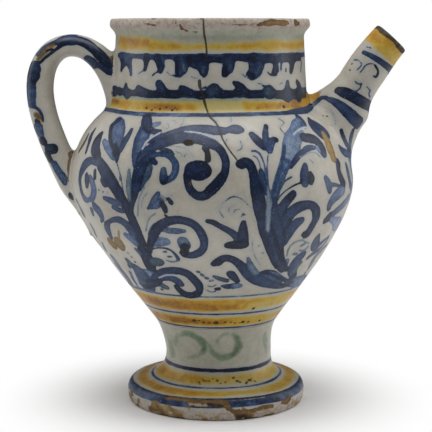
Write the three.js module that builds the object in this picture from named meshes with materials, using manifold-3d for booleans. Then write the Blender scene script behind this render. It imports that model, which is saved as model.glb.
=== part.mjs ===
// A footed pharmacy syrup jar in tin-glazed earthenware, in millimetres, +Z up.
// The potter makes it from five pieces of clay: a hollow pedestal foot, a body, a collar-like neck with its
// rim, a tubular spout and a strap handle. The thrown pieces are round but sit a little off centre on each
// other. The origin is the middle of the ring that the foot stands on, the spout points along +X and the
// handle along -X.
import * as THREE from "three";
import { mergeVertices } from "three/addons/utils/BufferGeometryUtils.js";
import Module from "manifold-3d";

// Joints
const JOINT_GAP = 0.3; // left between a stuck-on piece and the wall that it is stuck to

// Foot
const FOOT_HEIGHT = 50; // up to the seam with the body
const FOOT_RADIUS = 53.6; // at the widest part of the disc
const FOOT_BULGE_HEIGHT = 6.5; // where the disc is widest
const FOOT_REST_RADIUS = 51; // outer edge of the ring that it stands on
const FOOT_RING_WIDTH = 6.5; // width of that ring
const FOOT_DISC_HEIGHT = 13.2; // height of the disc's upper edge
const FOOT_DISC_THICKNESS = 7;
const FOOT_EDGE_ROUND = 5; // width of the disc's rounded upper edge
const STEM_RADIUS = 31.8; // at its waist
const STEM_WAIST_HEIGHT = 29;
const STEM_WALL = 7;

// Body
const BODY_HEIGHT = 126; // from seam to seam
const BODY_BASE_RADIUS = 36.4; // at the seam with the foot
const BELLY_RADIUS = 83.9;
const BELLY_RISE = 84; // from the lower seam to the widest part
const BODY_WALL = 6.5;
const BODY_FLOOR = 8;

// Neck
const NECK_HEIGHT = 52.5; // from its seam to the top of the rim
const NECK_SEAM_RADIUS = 61;
const NECK_RADIUS = 57.4; // just above the sweep at its root
const NECK_TOP_RADIUS = 55.4; // just under the lip
const NECK_WALL = 5.6;
const NECK_SWEEP = 8; // height of the outward sweep above the seam
const RIM_RADIUS = 58.9;
const RIM_DEPTH = 10.5; // how far down the lip reaches
const RIM_EDGE_DEPTH = 3.7; // where the lip is widest
const RIM_EDGE_ROUND = 1.6;
const RIM_LAND = 3; // flat width on top of the lip

// How far each part's middle lies from the middle of the foot, along X
const STEM_OFFSET = 1.5;
const BELLY_OFFSET = -1.5;
const NECK_OFFSET = -3.6;

// Spout
const SPOUT_ROOT_DROP = 28; // from the neck's seam down to where its middle starts
const SPOUT_ROOT_DEPTH = 17.5; // how deep inside the body's outside that is
const SPOUT_ROOT_TILT = 28; // degrees from upright
const SPOUT_OUT = 42.4; // from there out to the middle of the mouth
const SPOUT_RISE = 69.4; // and up to it
const SPOUT_TIP_TILT = 42.5;
const SPOUT_RADIUS = 12.2;
const SPOUT_TIP_RADIUS = 11.2;
const SPOUT_BORE_RADIUS = 7;
const SPOUT_BELLY_SPREAD = 4.4; // how much wider the root is towards the belly
const SPOUT_NECK_SPREAD = 24; // towards the neck, where it makes a web
const SPOUT_SIDE_SPREAD = 7.8; // and sideways

// Handle
const HANDLE_ROOT_DROP = 1.8; // from the neck's seam down to where its middle starts
const HANDLE_ROOT_DEPTH = 10.8; // how deep inside the wall's outside that is
const HANDLE_ROOT_TILT = 6.4; // degrees from upright
const HANDLE_ROOT_PULL = 49; // how strongly it rises from there
const HANDLE_OUT = 18.7; // from the belly out to the middle of the strap at its furthest
const HANDLE_SIDE_RISE = 11; // from the neck's seam up to that point
const HANDLE_CROWN_PULL = 36.8;
const HANDLE_SIDE_PULL = 24.5;
const HANDLE_TAIL_DROP = 73; // from the neck's seam down to the tail's tip
const HANDLE_TAIL_TILT = 17.8;
const HANDLE_TAIL_PULL = 33;
const HANDLE_ROOT_TOP = 9; // the root's reach on the neck's side of its middle
const HANDLE_ROOT_WEB = 7.6; // and on the fingers' side
const HANDLE_ROOT_WIDTH = 27;
const HANDLE_CROWN_THICKNESS = 13;
const HANDLE_THICKNESS = 15.6;
const HANDLE_WIDTH = 22;
const HANDLE_TAIL_THICKNESS = 3;
const HANDLE_TAIL_WIDTH = 10;
const STRAP_ROUNDNESS = 2.7; // 2 is an ellipse, and more is squarer

// How finely the curves are cut
const ROUND_STEPS = 54;
const LONG_CURVE = 9;
const SHORT_CURVE = 4;
const SPOUT_STEPS = 14;
const SPOUT_SIDES = 24;
const ARM_STEPS = 14; // for each half of the handle
const STRAP_SIDES = 20;

// Heights of the seams and the rim
const bodyBase = FOOT_HEIGHT;
const bellyHeight = bodyBase + BELLY_RISE;
const neckBase = bodyBase + BODY_HEIGHT;
const rimTop = neckBase + NECK_HEIGHT;

const { lerp, mapLinear, smoothstep, DEG2RAD: DEGREE } = THREE.MathUtils;
const wasm = await Module();
wasm.setup();

const point = (r, z) => new THREE.Vector2(r, z);

// A round stretch of an outline, without its first point: a Bezier curve that leaves and arrives along the
// given shares of the way from start to end
function sweep(steps, start, end, leave, arrive) {
  const span = end.clone().sub(start);
  const handleA = start.clone().add(point(...leave).multiply(span));
  const handleB = end.clone().sub(point(...arrive).multiply(span));
  return new THREE.CubicBezierCurve(start, handleA, handleB, end).getPoints(steps).slice(1);
}

// The middle of the thrown parts wanders along X with height
const wander = new THREE.SplineCurve([
  point(0, -FOOT_HEIGHT),
  point(0, 0),
  point(0, FOOT_DISC_HEIGHT),
  point(STEM_OFFSET, STEM_WAIST_HEIGHT),
  point((STEM_OFFSET + BELLY_OFFSET) / 2, bodyBase),
  point(BELLY_OFFSET, lerp(bodyBase, bellyHeight, 2 / 3)),
  point(NECK_OFFSET, neckBase),
  point(NECK_OFFSET, rimTop),
  point(NECK_OFFSET, rimTop + NECK_HEIGHT),
]).getPoints(200);

// Where a line of points with rising y stands at a height
function readAt(line, z) {
  const next = line.findIndex((p) => p.y >= z);
  const [below, above] = [line[next - 1], line[next]];
  return mapLinear(z, below.y, above.y, below.x, above.x);
}

// A closed mesh as a solid, and a solid as a mesh
function solid(geometry) {
  geometry.deleteAttribute("normal");
  geometry.deleteAttribute("uv");
  const merged = mergeVertices(geometry, 1e-4);
  return new wasm.Manifold(
    new wasm.Mesh({
      numProp: 3,
      vertProperties: merged.attributes.position.array,
      triVerts: new Uint32Array(merged.index.array),
    }),
  );
}

function mesh(name, shape, material) {
  const { vertProperties, triVerts } = shape.getMesh();
  const geometry = new THREE.BufferGeometry();
  geometry.setAttribute("position", new THREE.BufferAttribute(vertProperties, 3));
  geometry.setIndex(new THREE.BufferAttribute(triVerts, 1));
  geometry.computeVertexNormals();
  const made = new THREE.Mesh(geometry, material);
  made.name = name;
  return made;
}

// Throws an outline on the wheel: points run up the outside and down the inside, radius and height
function thrown(outline) {
  const geometry = new THREE.LatheGeometry(outline, ROUND_STEPS);
  geometry.rotateX(Math.PI / 2);
  const places = geometry.attributes.position;
  for (let i = 0; i < places.count; i += 1) {
    places.setX(i, places.getX(i) + readAt(wander, places.getZ(i)));
  }
  return solid(geometry);
}

// Moves an outline along its own normals, outwards if distance is positive
function offset(outline, distance) {
  return outline.map((here, i) => {
    const before = outline[Math.max(i - 1, 0)];
    const after = outline[Math.min(i + 1, outline.length - 1)];
    const along = after.clone().sub(before).normalize();
    return point(here.x + along.y * distance, here.y - along.x * distance);
  });
}

// The outer outlines, from the bottom up
const rest = point(FOOT_REST_RADIUS, 0);
const bulge = point(FOOT_RADIUS, FOOT_BULGE_HEIGHT);
const discEdge = point(FOOT_RADIUS - FOOT_EDGE_ROUND, FOOT_DISC_HEIGHT);
const waist = point(STEM_RADIUS, STEM_WAIST_HEIGHT);
const footSeam = point(BODY_BASE_RADIUS, bodyBase);
const footOutside = [
  rest,
  ...sweep(SHORT_CURVE, rest, bulge, [0.6, 0], [0, 0.6]),
  ...sweep(SHORT_CURVE, bulge, discEdge, [0, 0.6], [0.6, 0]),
  ...sweep(LONG_CURVE, discEdge, waist, [0.45, 0.09], [0, 0.79]),
  ...sweep(SHORT_CURVE, waist, footSeam, [0, 0.33], [0.7, 0.23]),
];

const belly = point(BELLY_RADIUS, bellyHeight);
const neckSeam = point(NECK_SEAM_RADIUS, neckBase);
const bodyOutside = [
  footSeam,
  ...sweep(LONG_CURVE, footSeam, belly, [0.17, 0.143], [0, 0.31]),
  ...sweep(LONG_CURVE, belly, neckSeam, [0, 0.12], [0.92, 0.36]),
];

const neckRoot = point(NECK_RADIUS, neckBase + NECK_SWEEP);
const lipRoot = point(NECK_TOP_RADIUS, rimTop - RIM_DEPTH);
const lipEdge = point(RIM_RADIUS, rimTop - RIM_EDGE_DEPTH);
const lipTop = point(RIM_RADIUS - RIM_EDGE_ROUND, rimTop);
const neckOutside = [
  neckSeam,
  ...sweep(SHORT_CURVE, neckSeam, neckRoot, [0.6, 0.2], [0, 0.5]),
  lipRoot,
  ...sweep(SHORT_CURVE, lipRoot, lipEdge, [0, 0.5], [0, 0.34]),
  ...sweep(SHORT_CURVE, lipEdge, lipTop, [0, 0.6], [0.6, 0]),
];

// The foot is hollow below, up to the body's floor
function footShape() {
  const stemInside = STEM_RADIUS - STEM_WALL;
  const ceiling = FOOT_DISC_HEIGHT - FOOT_DISC_THICKNESS;
  const stemTop = point(stemInside, bodyBase);
  const stemWaist = point(stemInside, STEM_WAIST_HEIGHT);
  const underside = point(stemInside + STEM_WALL, ceiling);
  const ringInside = point(FOOT_REST_RADIUS - FOOT_RING_WIDTH, 0);
  return thrown([
    ...footOutside,
    stemTop,
    stemWaist,
    ...sweep(LONG_CURVE, stemWaist, underside, [0, 0.75], [0.8, 0.05]),
    ...sweep(SHORT_CURVE, underside, ringInside, [0.6, 0], [0.05, 0.6]),
    rest,
  ]);
}

function bodyShape() {
  const floorTop = bodyBase + BODY_FLOOR;
  const floorEdge = point(BODY_BASE_RADIUS - 2 * BODY_WALL, floorTop);
  const inside = offset(bodyOutside, -BODY_WALL)
    .filter((p) => p.y > floorTop + BODY_WALL && p.y < neckBase - BODY_WALL)
    .reverse();
  return thrown([
    point(0, bodyBase),
    ...bodyOutside,
    point(NECK_SEAM_RADIUS - BODY_WALL, neckBase),
    ...inside,
    ...sweep(SHORT_CURVE, inside.at(-1), floorEdge, [0.4, 0.6], [0.5, 0]),
    point(0, floorTop),
  ]);
}

function neckShape() {
  const land = point(lipTop.x - RIM_LAND, rimTop);
  const throatTop = point(NECK_TOP_RADIUS - NECK_WALL, rimTop - RIM_DEPTH);
  const throatRoot = point(NECK_RADIUS - NECK_WALL, neckBase + NECK_SWEEP);
  const seamInside = point(NECK_SEAM_RADIUS - BODY_WALL, neckBase);
  return thrown([
    ...neckOutside,
    land,
    ...sweep(SHORT_CURVE, land, throatTop, [0.4, 0], [0, 0.6]),
    throatRoot,
    ...sweep(SHORT_CURVE, throatRoot, seamInside, [0, 0.5], [0.6, 0.2]),
    neckSeam,
  ]);
}

// The filled shape of the body and neck together, a joint gap larger, which stuck-on pieces are cut back to
const wallOutside = [...bodyOutside, ...neckOutside.slice(1)];

function wallToStickTo() {
  const outside = offset(wallOutside, JOINT_GAP);
  return thrown([point(0, outside[0].y), ...outside, point(0, outside.at(-1).y)]);
}

// Places on the upright plane through the axis, where the spout and the handle lie
const inPlane = (x, z) => new THREE.Vector3(x, 0, z);
const leaning = (tilt, length) => inPlane(Math.sin(tilt * DEGREE), Math.cos(tilt * DEGREE)).setLength(length);

// A place a distance outside the wall at a height, on the spout's side if side is 1, on the handle's if -1
function besideWall(side, distance, z) {
  return inPlane(readAt(wander, z) + side * (readAt(wallOutside, z) + distance), z);
}

// Rings along a line in that plane. reachAt gives how far the clay reaches on the line's outer side, on its
// inner side and sideways.
function ringsAlong(line, steps, sides, roundness, reachAt) {
  const rounded = (value) => Math.sign(value) * Math.pow(Math.abs(value), 2 / roundness);
  return Array.from({ length: steps + 1 }, (_, step) => {
    const share = step / steps;
    const middle = line.getPoint(share);
    const along = line.getTangent(share);
    const across = inPlane(along.z, -along.x);
    const [outer, inner, sideways] = reachAt(share);
    return Array.from({ length: sides }, (__, i) => {
      const turn = (2 * Math.PI * i) / sides;
      const reach = (Math.cos(turn) > 0 ? outer : inner) * rounded(Math.cos(turn));
      const sidestep = new THREE.Vector3(0, sideways * rounded(Math.sin(turn)), 0);
      return middle.clone().addScaledVector(across, reach).add(sidestep);
    });
  });
}

// Rings of points joined into one skin, with a fan over each end
function loft(rings) {
  const sides = rings[0].length;
  const middleOf = (ring) => ring.reduce((sum, p) => sum.add(p), new THREE.Vector3()).divideScalar(sides);
  const places = [...rings.flat(), middleOf(rings[0]), middleOf(rings.at(-1))];
  const [firstMiddle, lastMiddle] = [places.length - 2, places.length - 1];
  const lastRing = (rings.length - 1) * sides;
  const faces = [];
  for (let side = 0; side < sides; side += 1) {
    const next = (side + 1) % sides;
    faces.push(firstMiddle, next, side, lastMiddle, lastRing + side, lastRing + next);
    for (let ring = 0; ring < lastRing; ring += sides) {
      faces.push(ring + side, ring + next, ring + sides + next);
      faces.push(ring + side, ring + sides + next, ring + sides + side);
    }
  }
  const geometry = new THREE.BufferGeometry().setFromPoints(places);
  geometry.setIndex(faces);
  return solid(geometry);
}

// Spout
const spoutRoot = besideWall(1, -SPOUT_ROOT_DEPTH, neckBase - SPOUT_ROOT_DROP);
const spoutTip = spoutRoot.clone().add(inPlane(SPOUT_OUT, SPOUT_RISE));
const spoutPull = spoutRoot.distanceTo(spoutTip) / 3;
const spoutLine = new THREE.CubicBezierCurve3(
  spoutRoot,
  spoutRoot.clone().add(leaning(SPOUT_ROOT_TILT, spoutPull)),
  spoutTip.clone().sub(leaning(SPOUT_TIP_TILT, spoutPull)),
  spoutTip,
);

// The way that the syrup takes, from inside the body to just past the spout's mouth
function boreShape() {
  const reach = Array(3).fill(SPOUT_BORE_RADIUS);
  const rings = ringsAlong(spoutLine, SPOUT_STEPS, SPOUT_SIDES, 2, () => reach);
  const past = leaning(SPOUT_TIP_TILT, SPOUT_BORE_RADIUS);
  return loft([...rings, rings.at(-1).map((p) => p.clone().add(past))]);
}

function spoutShape(wall, bore) {
  const reachAt = (share) => {
    const tube = lerp(SPOUT_RADIUS, SPOUT_TIP_RADIUS, smoothstep(share, 0.7, 1));
    const root = 1 - smoothstep(share, 0, 0.6);
    const spreads = [SPOUT_BELLY_SPREAD, SPOUT_NECK_SPREAD, SPOUT_SIDE_SPREAD];
    return spreads.map((spread) => tube + spread * root);
  };
  return loft(ringsAlong(spoutLine, SPOUT_STEPS, SPOUT_SIDES, 2, reachAt)).subtract(wall).subtract(bore);
}

// Handle
const handleRoot = besideWall(-1, -HANDLE_ROOT_DEPTH, neckBase - HANDLE_ROOT_DROP);
const handleSide = inPlane(BELLY_OFFSET - BELLY_RADIUS - HANDLE_OUT, neckBase + HANDLE_SIDE_RISE);
const handleTail = besideWall(-1, 0, neckBase - HANDLE_TAIL_DROP);
const upperArm = new THREE.CubicBezierCurve3(
  handleRoot,
  handleRoot.clone().add(leaning(-HANDLE_ROOT_TILT, HANDLE_ROOT_PULL)),
  handleSide.clone().add(inPlane(0, HANDLE_CROWN_PULL)),
  handleSide,
);
const lowerArm = new THREE.CubicBezierCurve3(
  handleSide,
  handleSide.clone().sub(inPlane(0, HANDLE_SIDE_PULL)),
  handleTail.clone().add(leaning(-HANDLE_TAIL_TILT, HANDLE_TAIL_PULL)),
  handleTail,
);

function handleShape(wall) {
  const root = [HANDLE_ROOT_TOP, HANDLE_ROOT_WEB, HANDLE_ROOT_WIDTH / 2];
  const crown = [HANDLE_CROWN_THICKNESS / 2, HANDLE_CROWN_THICKNESS / 2, HANDLE_WIDTH / 2];
  const side = [HANDLE_THICKNESS / 2, HANDLE_THICKNESS / 2, HANDLE_WIDTH / 2];
  const tail = [HANDLE_TAIL_THICKNESS / 2, HANDLE_TAIL_THICKNESS / 2, HANDLE_TAIL_WIDTH / 2];
  const blend = (start, end, share) => start.map((value, i) => lerp(value, end[i], share));
  const toCrown = (share) => blend(root, crown, smoothstep(share, 0, 0.5));
  const toSide = (share) => blend(crown, side, smoothstep(share, 0.5, 1));
  const upperReach = (share) => (share < 0.5 ? toCrown(share) : toSide(share));
  const lowerReach = (share) => blend(side, tail, smoothstep(share, 0.65, 1));
  const upper = ringsAlong(upperArm, ARM_STEPS, STRAP_SIDES, STRAP_ROUNDNESS, upperReach);
  const lower = ringsAlong(lowerArm, ARM_STEPS, STRAP_SIDES, STRAP_ROUNDNESS, lowerReach);
  return loft([...upper, ...lower.slice(1)]).subtract(wall);
}

// Each piece in the colour that its glaze shows most of
const glaze = (color) => new THREE.MeshStandardMaterial({ color, roughness: 0.3, metalness: 0 });

const wall = wallToStickTo();
const bore = boreShape();
const jar = new THREE.Group();
jar.name = "syrup_jar";
jar.add(
  mesh("foot", footShape(), glaze(0xb99a55)),
  mesh("body", bodyShape().subtract(bore), glaze(0xb9b0a6)),
  mesh("neck", neckShape(), glaze(0xaea89f)),
  mesh("spout", spoutShape(wall, bore), glaze(0xb4aca0)),
  mesh("handle", handleShape(wall), glaze(0xa8a59c)),
);

export default jar;
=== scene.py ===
import math

import bpy
import numpy as np
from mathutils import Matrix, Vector
from mathutils.bvhtree import BVHTree


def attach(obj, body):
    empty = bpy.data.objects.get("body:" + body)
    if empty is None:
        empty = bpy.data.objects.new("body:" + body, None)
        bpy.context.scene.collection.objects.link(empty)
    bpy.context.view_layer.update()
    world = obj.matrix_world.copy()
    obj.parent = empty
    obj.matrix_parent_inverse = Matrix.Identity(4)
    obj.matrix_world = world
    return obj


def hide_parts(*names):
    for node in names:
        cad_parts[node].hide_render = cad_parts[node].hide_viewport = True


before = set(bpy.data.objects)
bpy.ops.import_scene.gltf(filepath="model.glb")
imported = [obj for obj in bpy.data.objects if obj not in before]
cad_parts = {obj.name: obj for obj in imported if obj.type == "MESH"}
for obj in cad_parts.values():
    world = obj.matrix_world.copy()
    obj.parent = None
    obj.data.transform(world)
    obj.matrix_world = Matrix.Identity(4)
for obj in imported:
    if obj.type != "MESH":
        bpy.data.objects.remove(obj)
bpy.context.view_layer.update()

# Lengths are millimetres, unless a name says otherwise. The mesh maker turns them into metres.
MM = 0.001
NEVER = -9.0

# The jar's own sizes, as in the part's source
FOOT_HEIGHT = 50
FOOT_RADIUS = 53.6
BULGE_HEIGHT = 6.5
REST_RADIUS = 51
RING_WIDTH = 6.5
DISC_HEIGHT = 13.2
DISC_THICKNESS = 7
EDGE_ROUND = 5
STEM_RADIUS = 31.8
STEM_HEIGHT = 29
STEM_WALL = 7

BODY_HEIGHT = 126
BODY_BASE_RADIUS = 36.4
BELLY_RADIUS = 83.9
BELLY_HEIGHT = FOOT_HEIGHT + 84
BODY_WALL = 6.5
BODY_FLOOR = 8
FLOOR_RADIUS = 23.4
SEAM_HEIGHT = FOOT_HEIGHT + BODY_HEIGHT

NECK_HEIGHT = 52.5
NECK_SEAM_RADIUS = 61
NECK_RADIUS = 57.4
NECK_TOP_RADIUS = 55.4
NECK_WALL = 5.6
NECK_ROOT_HEIGHT = SEAM_HEIGHT + 8
RIM_TOP = SEAM_HEIGHT + NECK_HEIGHT
RIM_RADIUS = 58.9
RIM_ROOT_HEIGHT = RIM_TOP - 10.5
RIM_EDGE_HEIGHT = RIM_TOP - 3.7
RIM_EDGE_ROUND = 1.6
RIM_LAND = 3

# How far the middles of the thrown parts wander along X
STEM_OFFSET = 1.5
LOW_BELLY_HEIGHT = 106
BELLY_OFFSET = -1.5
NECK_OFFSET = -3.6

# The spout, whose line starts inside the body
SPOUT_ROOT_HEIGHT = SEAM_HEIGHT - 28
SPOUT_ROOT_DEPTH = 17.5
SPOUT_REACH = (42.4, 69.4)
SPOUT_TILT = 28
SPOUT_BEND_TILT = 42.5
SPOUT_RADIUS = 12.2
SPOUT_MOUTH_RADIUS = 11.2
SPOUT_BELLY_SPREAD = 4.4
SPOUT_NECK_SPREAD = 24
SPOUT_SIDE_SPREAD = 7.8
SPOUT_SWELLING = 2.2
SWELLING_PLACE = 0.4
SWELLING_LENGTH = 0.08
SPOUT_LIP = 1.3
BORE_RADIUS = 7

# The handle. A section is its outer reach, its inner reach and half its width.
HANDLE_ROOT_HEIGHT = SEAM_HEIGHT - 1.8
HANDLE_ROOT_DEPTH = 10.8
HANDLE_ROOT_TILT = -6.4
HANDLE_ROOT_PULL = 49
HANDLE_OUT = 18.7
HANDLE_SIDE_HEIGHT = SEAM_HEIGHT + 11
HANDLE_CROWN_PULL = 36.8
HANDLE_SIDE_PULL = 24.5
HANDLE_TAIL_HEIGHT = SEAM_HEIGHT - 73
HANDLE_TAIL_TILT = -17.8
HANDLE_TAIL_PULL = 33
HANDLE_TAIL_SINK = 3
SECTION_AT_ROOT = (9, 7.6, 13.5)
SECTION_AT_CROWN = (6.5, 6.5, 11)
SECTION_AT_SIDE = (7.8, 7.8, 11)
SECTION_AT_TAIL = (1.5, 1.5, 5)
STRAP_ROUNDNESS = 2.7

# How the roots of the spout and the handle meet the wall
SPOUT_FILLET = 6.0
HANDLE_FILLET = 5.0
OVERLAP = 0.5
ROOT_ZONE_OUT = 30
ROOT_ZONE_WIDE = 40

# How closely the surfaces are sampled
FRONT_STEP = 0.7
BACK_STEP = 1.1
HIDDEN_STEP = 3.0
BORE_STEP = 1.5
FRONT_ANGLE = math.radians(102)
SPOUT_SIDES = 176
HANDLE_SIDES = 104
CHUNK = 4000


# Profiles


def bezier(a, b, c, d, t):
    t = np.asarray(t, float)[:, None]
    a, b, c, d = (np.asarray(p, float) for p in (a, b, c, d))
    return (1 - t) ** 3 * a + 3 * (1 - t) ** 2 * t * b + 3 * (1 - t) * t * t * c + t ** 3 * d


def sweep(start, end, leave, arrive, steps=60):
    """A curve between two places. Leave and arrive say how far its handles reach, as shares of the span."""
    start = np.asarray(start, float)
    end = np.asarray(end, float)
    span = end - start
    first = start + np.asarray(leave) * span
    last = end - np.asarray(arrive) * span
    return bezier(start, first, last, end, np.linspace(0, 1, steps))


def straight(*places):
    return np.array(places, float)


def joined(*curves):
    """Curves in a row, each without its first point, which the one before it ends in."""
    return np.vstack([curves[0]] + [curve[1:] for curve in curves[1:]])


def lengths_along(line):
    gaps = np.linalg.norm(np.diff(line, axis=0), axis=1)
    return np.concatenate([[0], np.cumsum(gaps)])


def stepped(line, step):
    along = lengths_along(line)
    stations = np.linspace(0, along[-1], max(2, int(round(along[-1] / step)) + 1))
    return np.column_stack([np.interp(stations, along, line[:, i]) for i in range(line.shape[1])])


def line_normals(line):
    tangent = np.gradient(line, axis=0)
    tangent /= np.linalg.norm(tangent, axis=1)[:, None]
    return np.column_stack([tangent[:, 1], -tangent[:, 0]])


def smooth_line(stops, steps):
    """A Catmull-Rom line through the stops, with any number of values at each."""
    stops = np.asarray(stops, float)
    padded = np.vstack([stops[:1], stops, stops[-1:]])
    t = np.linspace(0, 1, steps, endpoint=False)[:, None]
    rows = []
    for i in range(len(stops) - 1):
        a, b, c, d = padded[i:i + 4]
        pull_b = (c - a) * 0.5
        pull_c = (d - b) * 0.5
        rows.append(
            (2 * b - 2 * c + pull_b + pull_c) * t ** 3
            + (-3 * b + 3 * c - 2 * pull_b - pull_c) * t ** 2
            + pull_b * t
            + b
        )
    rows.append(stops[-1:])
    return np.vstack(rows)


def foot_outside():
    rest = (REST_RADIUS, 0)
    bulge = (FOOT_RADIUS, BULGE_HEIGHT)
    disc_edge = (FOOT_RADIUS - EDGE_ROUND, DISC_HEIGHT)
    waist = (STEM_RADIUS, STEM_HEIGHT)
    return joined(
        sweep(rest, bulge, (0.6, 0), (0, 0.6)),
        sweep(bulge, disc_edge, (0, 0.6), (0.6, 0)),
        sweep(disc_edge, waist, (0.45, 0.09), (0, 0.79)),
        sweep(waist, (BODY_BASE_RADIUS, FOOT_HEIGHT), (0, 0.33), (0.7, 0.23)),
    )


def body_outside():
    belly = (BELLY_RADIUS, BELLY_HEIGHT)
    return joined(
        sweep((BODY_BASE_RADIUS, FOOT_HEIGHT), belly, (0.17, 0.143), (0, 0.31)),
        sweep(belly, (NECK_SEAM_RADIUS, SEAM_HEIGHT), (0, 0.12), (0.92, 0.36)),
    )


def neck_outside():
    root = (NECK_RADIUS, NECK_ROOT_HEIGHT)
    rim_root = (NECK_TOP_RADIUS, RIM_ROOT_HEIGHT)
    rim_edge = (RIM_RADIUS, RIM_EDGE_HEIGHT)
    return joined(
        sweep((NECK_SEAM_RADIUS, SEAM_HEIGHT), root, (0.6, 0.2), (0, 0.5)),
        straight(root, rim_root),
        sweep(rim_root, rim_edge, (0, 0.5), (0, 0.34)),
        sweep(rim_edge, (RIM_RADIUS - RIM_EDGE_ROUND, RIM_TOP), (0, 0.6), (0.6, 0)),
    )


def foot_inside():
    hollow = STEM_RADIUS - STEM_WALL
    ring = REST_RADIUS - RING_WIDTH
    under_disc = (STEM_RADIUS, DISC_HEIGHT - DISC_THICKNESS)
    return joined(
        straight((BODY_BASE_RADIUS, FOOT_HEIGHT), (hollow, FOOT_HEIGHT), (hollow, STEM_HEIGHT)),
        sweep((hollow, STEM_HEIGHT), under_disc, (0, 0.75), (0.8, 0.05)),
        sweep(under_disc, (ring, 0), (0.6, 0), (0.05, 0.6)),
        straight((ring, 0), (REST_RADIUS, 0)),
    )


def body_inside():
    outer = stepped(body_outside(), 2)
    inner = outer - BODY_WALL * line_normals(outer)
    floor_edge = (FLOOR_RADIUS, FOOT_HEIGHT + BODY_FLOOR)
    inner = inner[(inner[:, 1] > floor_edge[1] + BODY_WALL) & (inner[:, 1] < SEAM_HEIGHT - BODY_WALL)]
    return joined(
        straight((0.01, floor_edge[1]), floor_edge),
        sweep(floor_edge, inner[0], (0.5, 0), (0.4, 0.6), 12),
        inner,
        straight(inner[-1], (NECK_SEAM_RADIUS - BODY_WALL, SEAM_HEIGHT)),
    )


def neck_inside():
    land_edge = (RIM_RADIUS - RIM_EDGE_ROUND - RIM_LAND, RIM_TOP)
    top = (NECK_TOP_RADIUS - NECK_WALL, RIM_ROOT_HEIGHT)
    low = (NECK_RADIUS - NECK_WALL, NECK_ROOT_HEIGHT)
    return joined(
        straight((RIM_RADIUS - RIM_EDGE_ROUND, RIM_TOP)),
        sweep(land_edge, top, (0.4, 0), (0, 0.6)),
        straight(top, low),
        sweep(low, (NECK_SEAM_RADIUS - BODY_WALL, SEAM_HEIGHT), (0, 0.5), (0.6, 0.2)),
    )


WANDER = smooth_line(
    [
        (0, -FOOT_HEIGHT),
        (0, 0),
        (0, DISC_HEIGHT),
        (STEM_OFFSET, STEM_HEIGHT),
        (0, FOOT_HEIGHT),
        (BELLY_OFFSET, LOW_BELLY_HEIGHT),
        (NECK_OFFSET, SEAM_HEIGHT),
        (NECK_OFFSET, RIM_TOP),
        (NECK_OFFSET, RIM_TOP + NECK_HEIGHT),
    ],
    60,
)
OUTSIDE = joined(foot_outside(), body_outside(), neck_outside())
WALL_LINE = stepped(OUTSIDE[OUTSIDE[:, 1] > 0.5], 0.35)
WALL_NORMAL = line_normals(WALL_LINE)


def wander(z):
    return np.interp(z, WANDER[:, 1], WANDER[:, 0])


def wall_radius(z):
    return np.interp(z, WALL_LINE[:, 1], WALL_LINE[:, 0])


def along_wall(z):
    return np.interp(z, WALL_LINE[:, 1], lengths_along(WALL_LINE))


def beside_wall(side, distance, z):
    return np.array([float(wander(z)) + side * (float(wall_radius(z)) + distance), z])


def leaning(tilt, length):
    angle = math.radians(tilt)
    return length * np.array([math.sin(angle), math.cos(angle)])


def smoothstep(value, low, high):
    t = np.clip((np.asarray(value, float) - low) / (high - low), 0, 1)
    return t * t * (3 - 2 * t)


def mix(a, b, share):
    return a + (b - a) * share


# The spout's and the handle's lines, in the upright plane through both


def spout_line(count):
    root = beside_wall(1, -SPOUT_ROOT_DEPTH, SPOUT_ROOT_HEIGHT)
    tip = root + np.array(SPOUT_REACH)
    pull = np.linalg.norm(tip - root) / 3
    t = np.linspace(0, 1, count)
    points = bezier(root, root + leaning(SPOUT_TILT, pull), tip - leaning(SPOUT_BEND_TILT, pull), tip, t)
    tube = mix(SPOUT_RADIUS, SPOUT_MOUTH_RADIUS, smoothstep(t, 0.7, 1))
    flare = 1 - smoothstep(t, 0, 0.6)
    swelling = SPOUT_SWELLING * np.exp(-((t - SWELLING_PLACE) / SWELLING_LENGTH) ** 2)
    to_belly = tube + SPOUT_BELLY_SPREAD * flare + swelling
    reach = np.column_stack([to_belly, tube + SPOUT_NECK_SPREAD * flare, tube + SPOUT_SIDE_SPREAD * flare])
    return points, reach


def handle_line(count):
    root = beside_wall(-1, -HANDLE_ROOT_DEPTH, HANDLE_ROOT_HEIGHT)
    tail = beside_wall(-1, 0, HANDLE_TAIL_HEIGHT)
    side = np.array([BELLY_OFFSET - BELLY_RADIUS - HANDLE_OUT, HANDLE_SIDE_HEIGHT])
    t = np.linspace(0, 1, count // 2)
    crown = side + np.array([0, HANDLE_CROWN_PULL])
    upper = bezier(root, root + leaning(HANDLE_ROOT_TILT, HANDLE_ROOT_PULL), crown, side, t)
    below = side - np.array([0, HANDLE_SIDE_PULL])
    lower = bezier(side, below, tail + leaning(HANDLE_TAIL_TILT, HANDLE_TAIL_PULL), tail, t)
    at_root, at_crown, at_side, at_tail = (
        np.array(section, float)
        for section in (SECTION_AT_ROOT, SECTION_AT_CROWN, SECTION_AT_SIDE, SECTION_AT_TAIL)
    )
    to_crown = smoothstep(t, 0, 0.5)[:, None]
    to_side = smoothstep(t, 0.5, 1)[:, None]
    to_tail = smoothstep(t, 0.65, 1)[:, None]
    upper_reach = mix(mix(at_root, at_crown, to_crown), at_side, to_side)
    lower_reach = mix(at_side, at_tail, to_tail)
    last = tail - lower[-2]
    into_wall = tail + last / np.linalg.norm(last) * HANDLE_TAIL_SINK
    points = np.vstack([upper, lower[1:], [into_wall]])
    return points, np.vstack([upper_reach, lower_reach[1:], [at_tail]])


SPOUT = spout_line(160)
HANDLE = handle_line(260)


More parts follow.
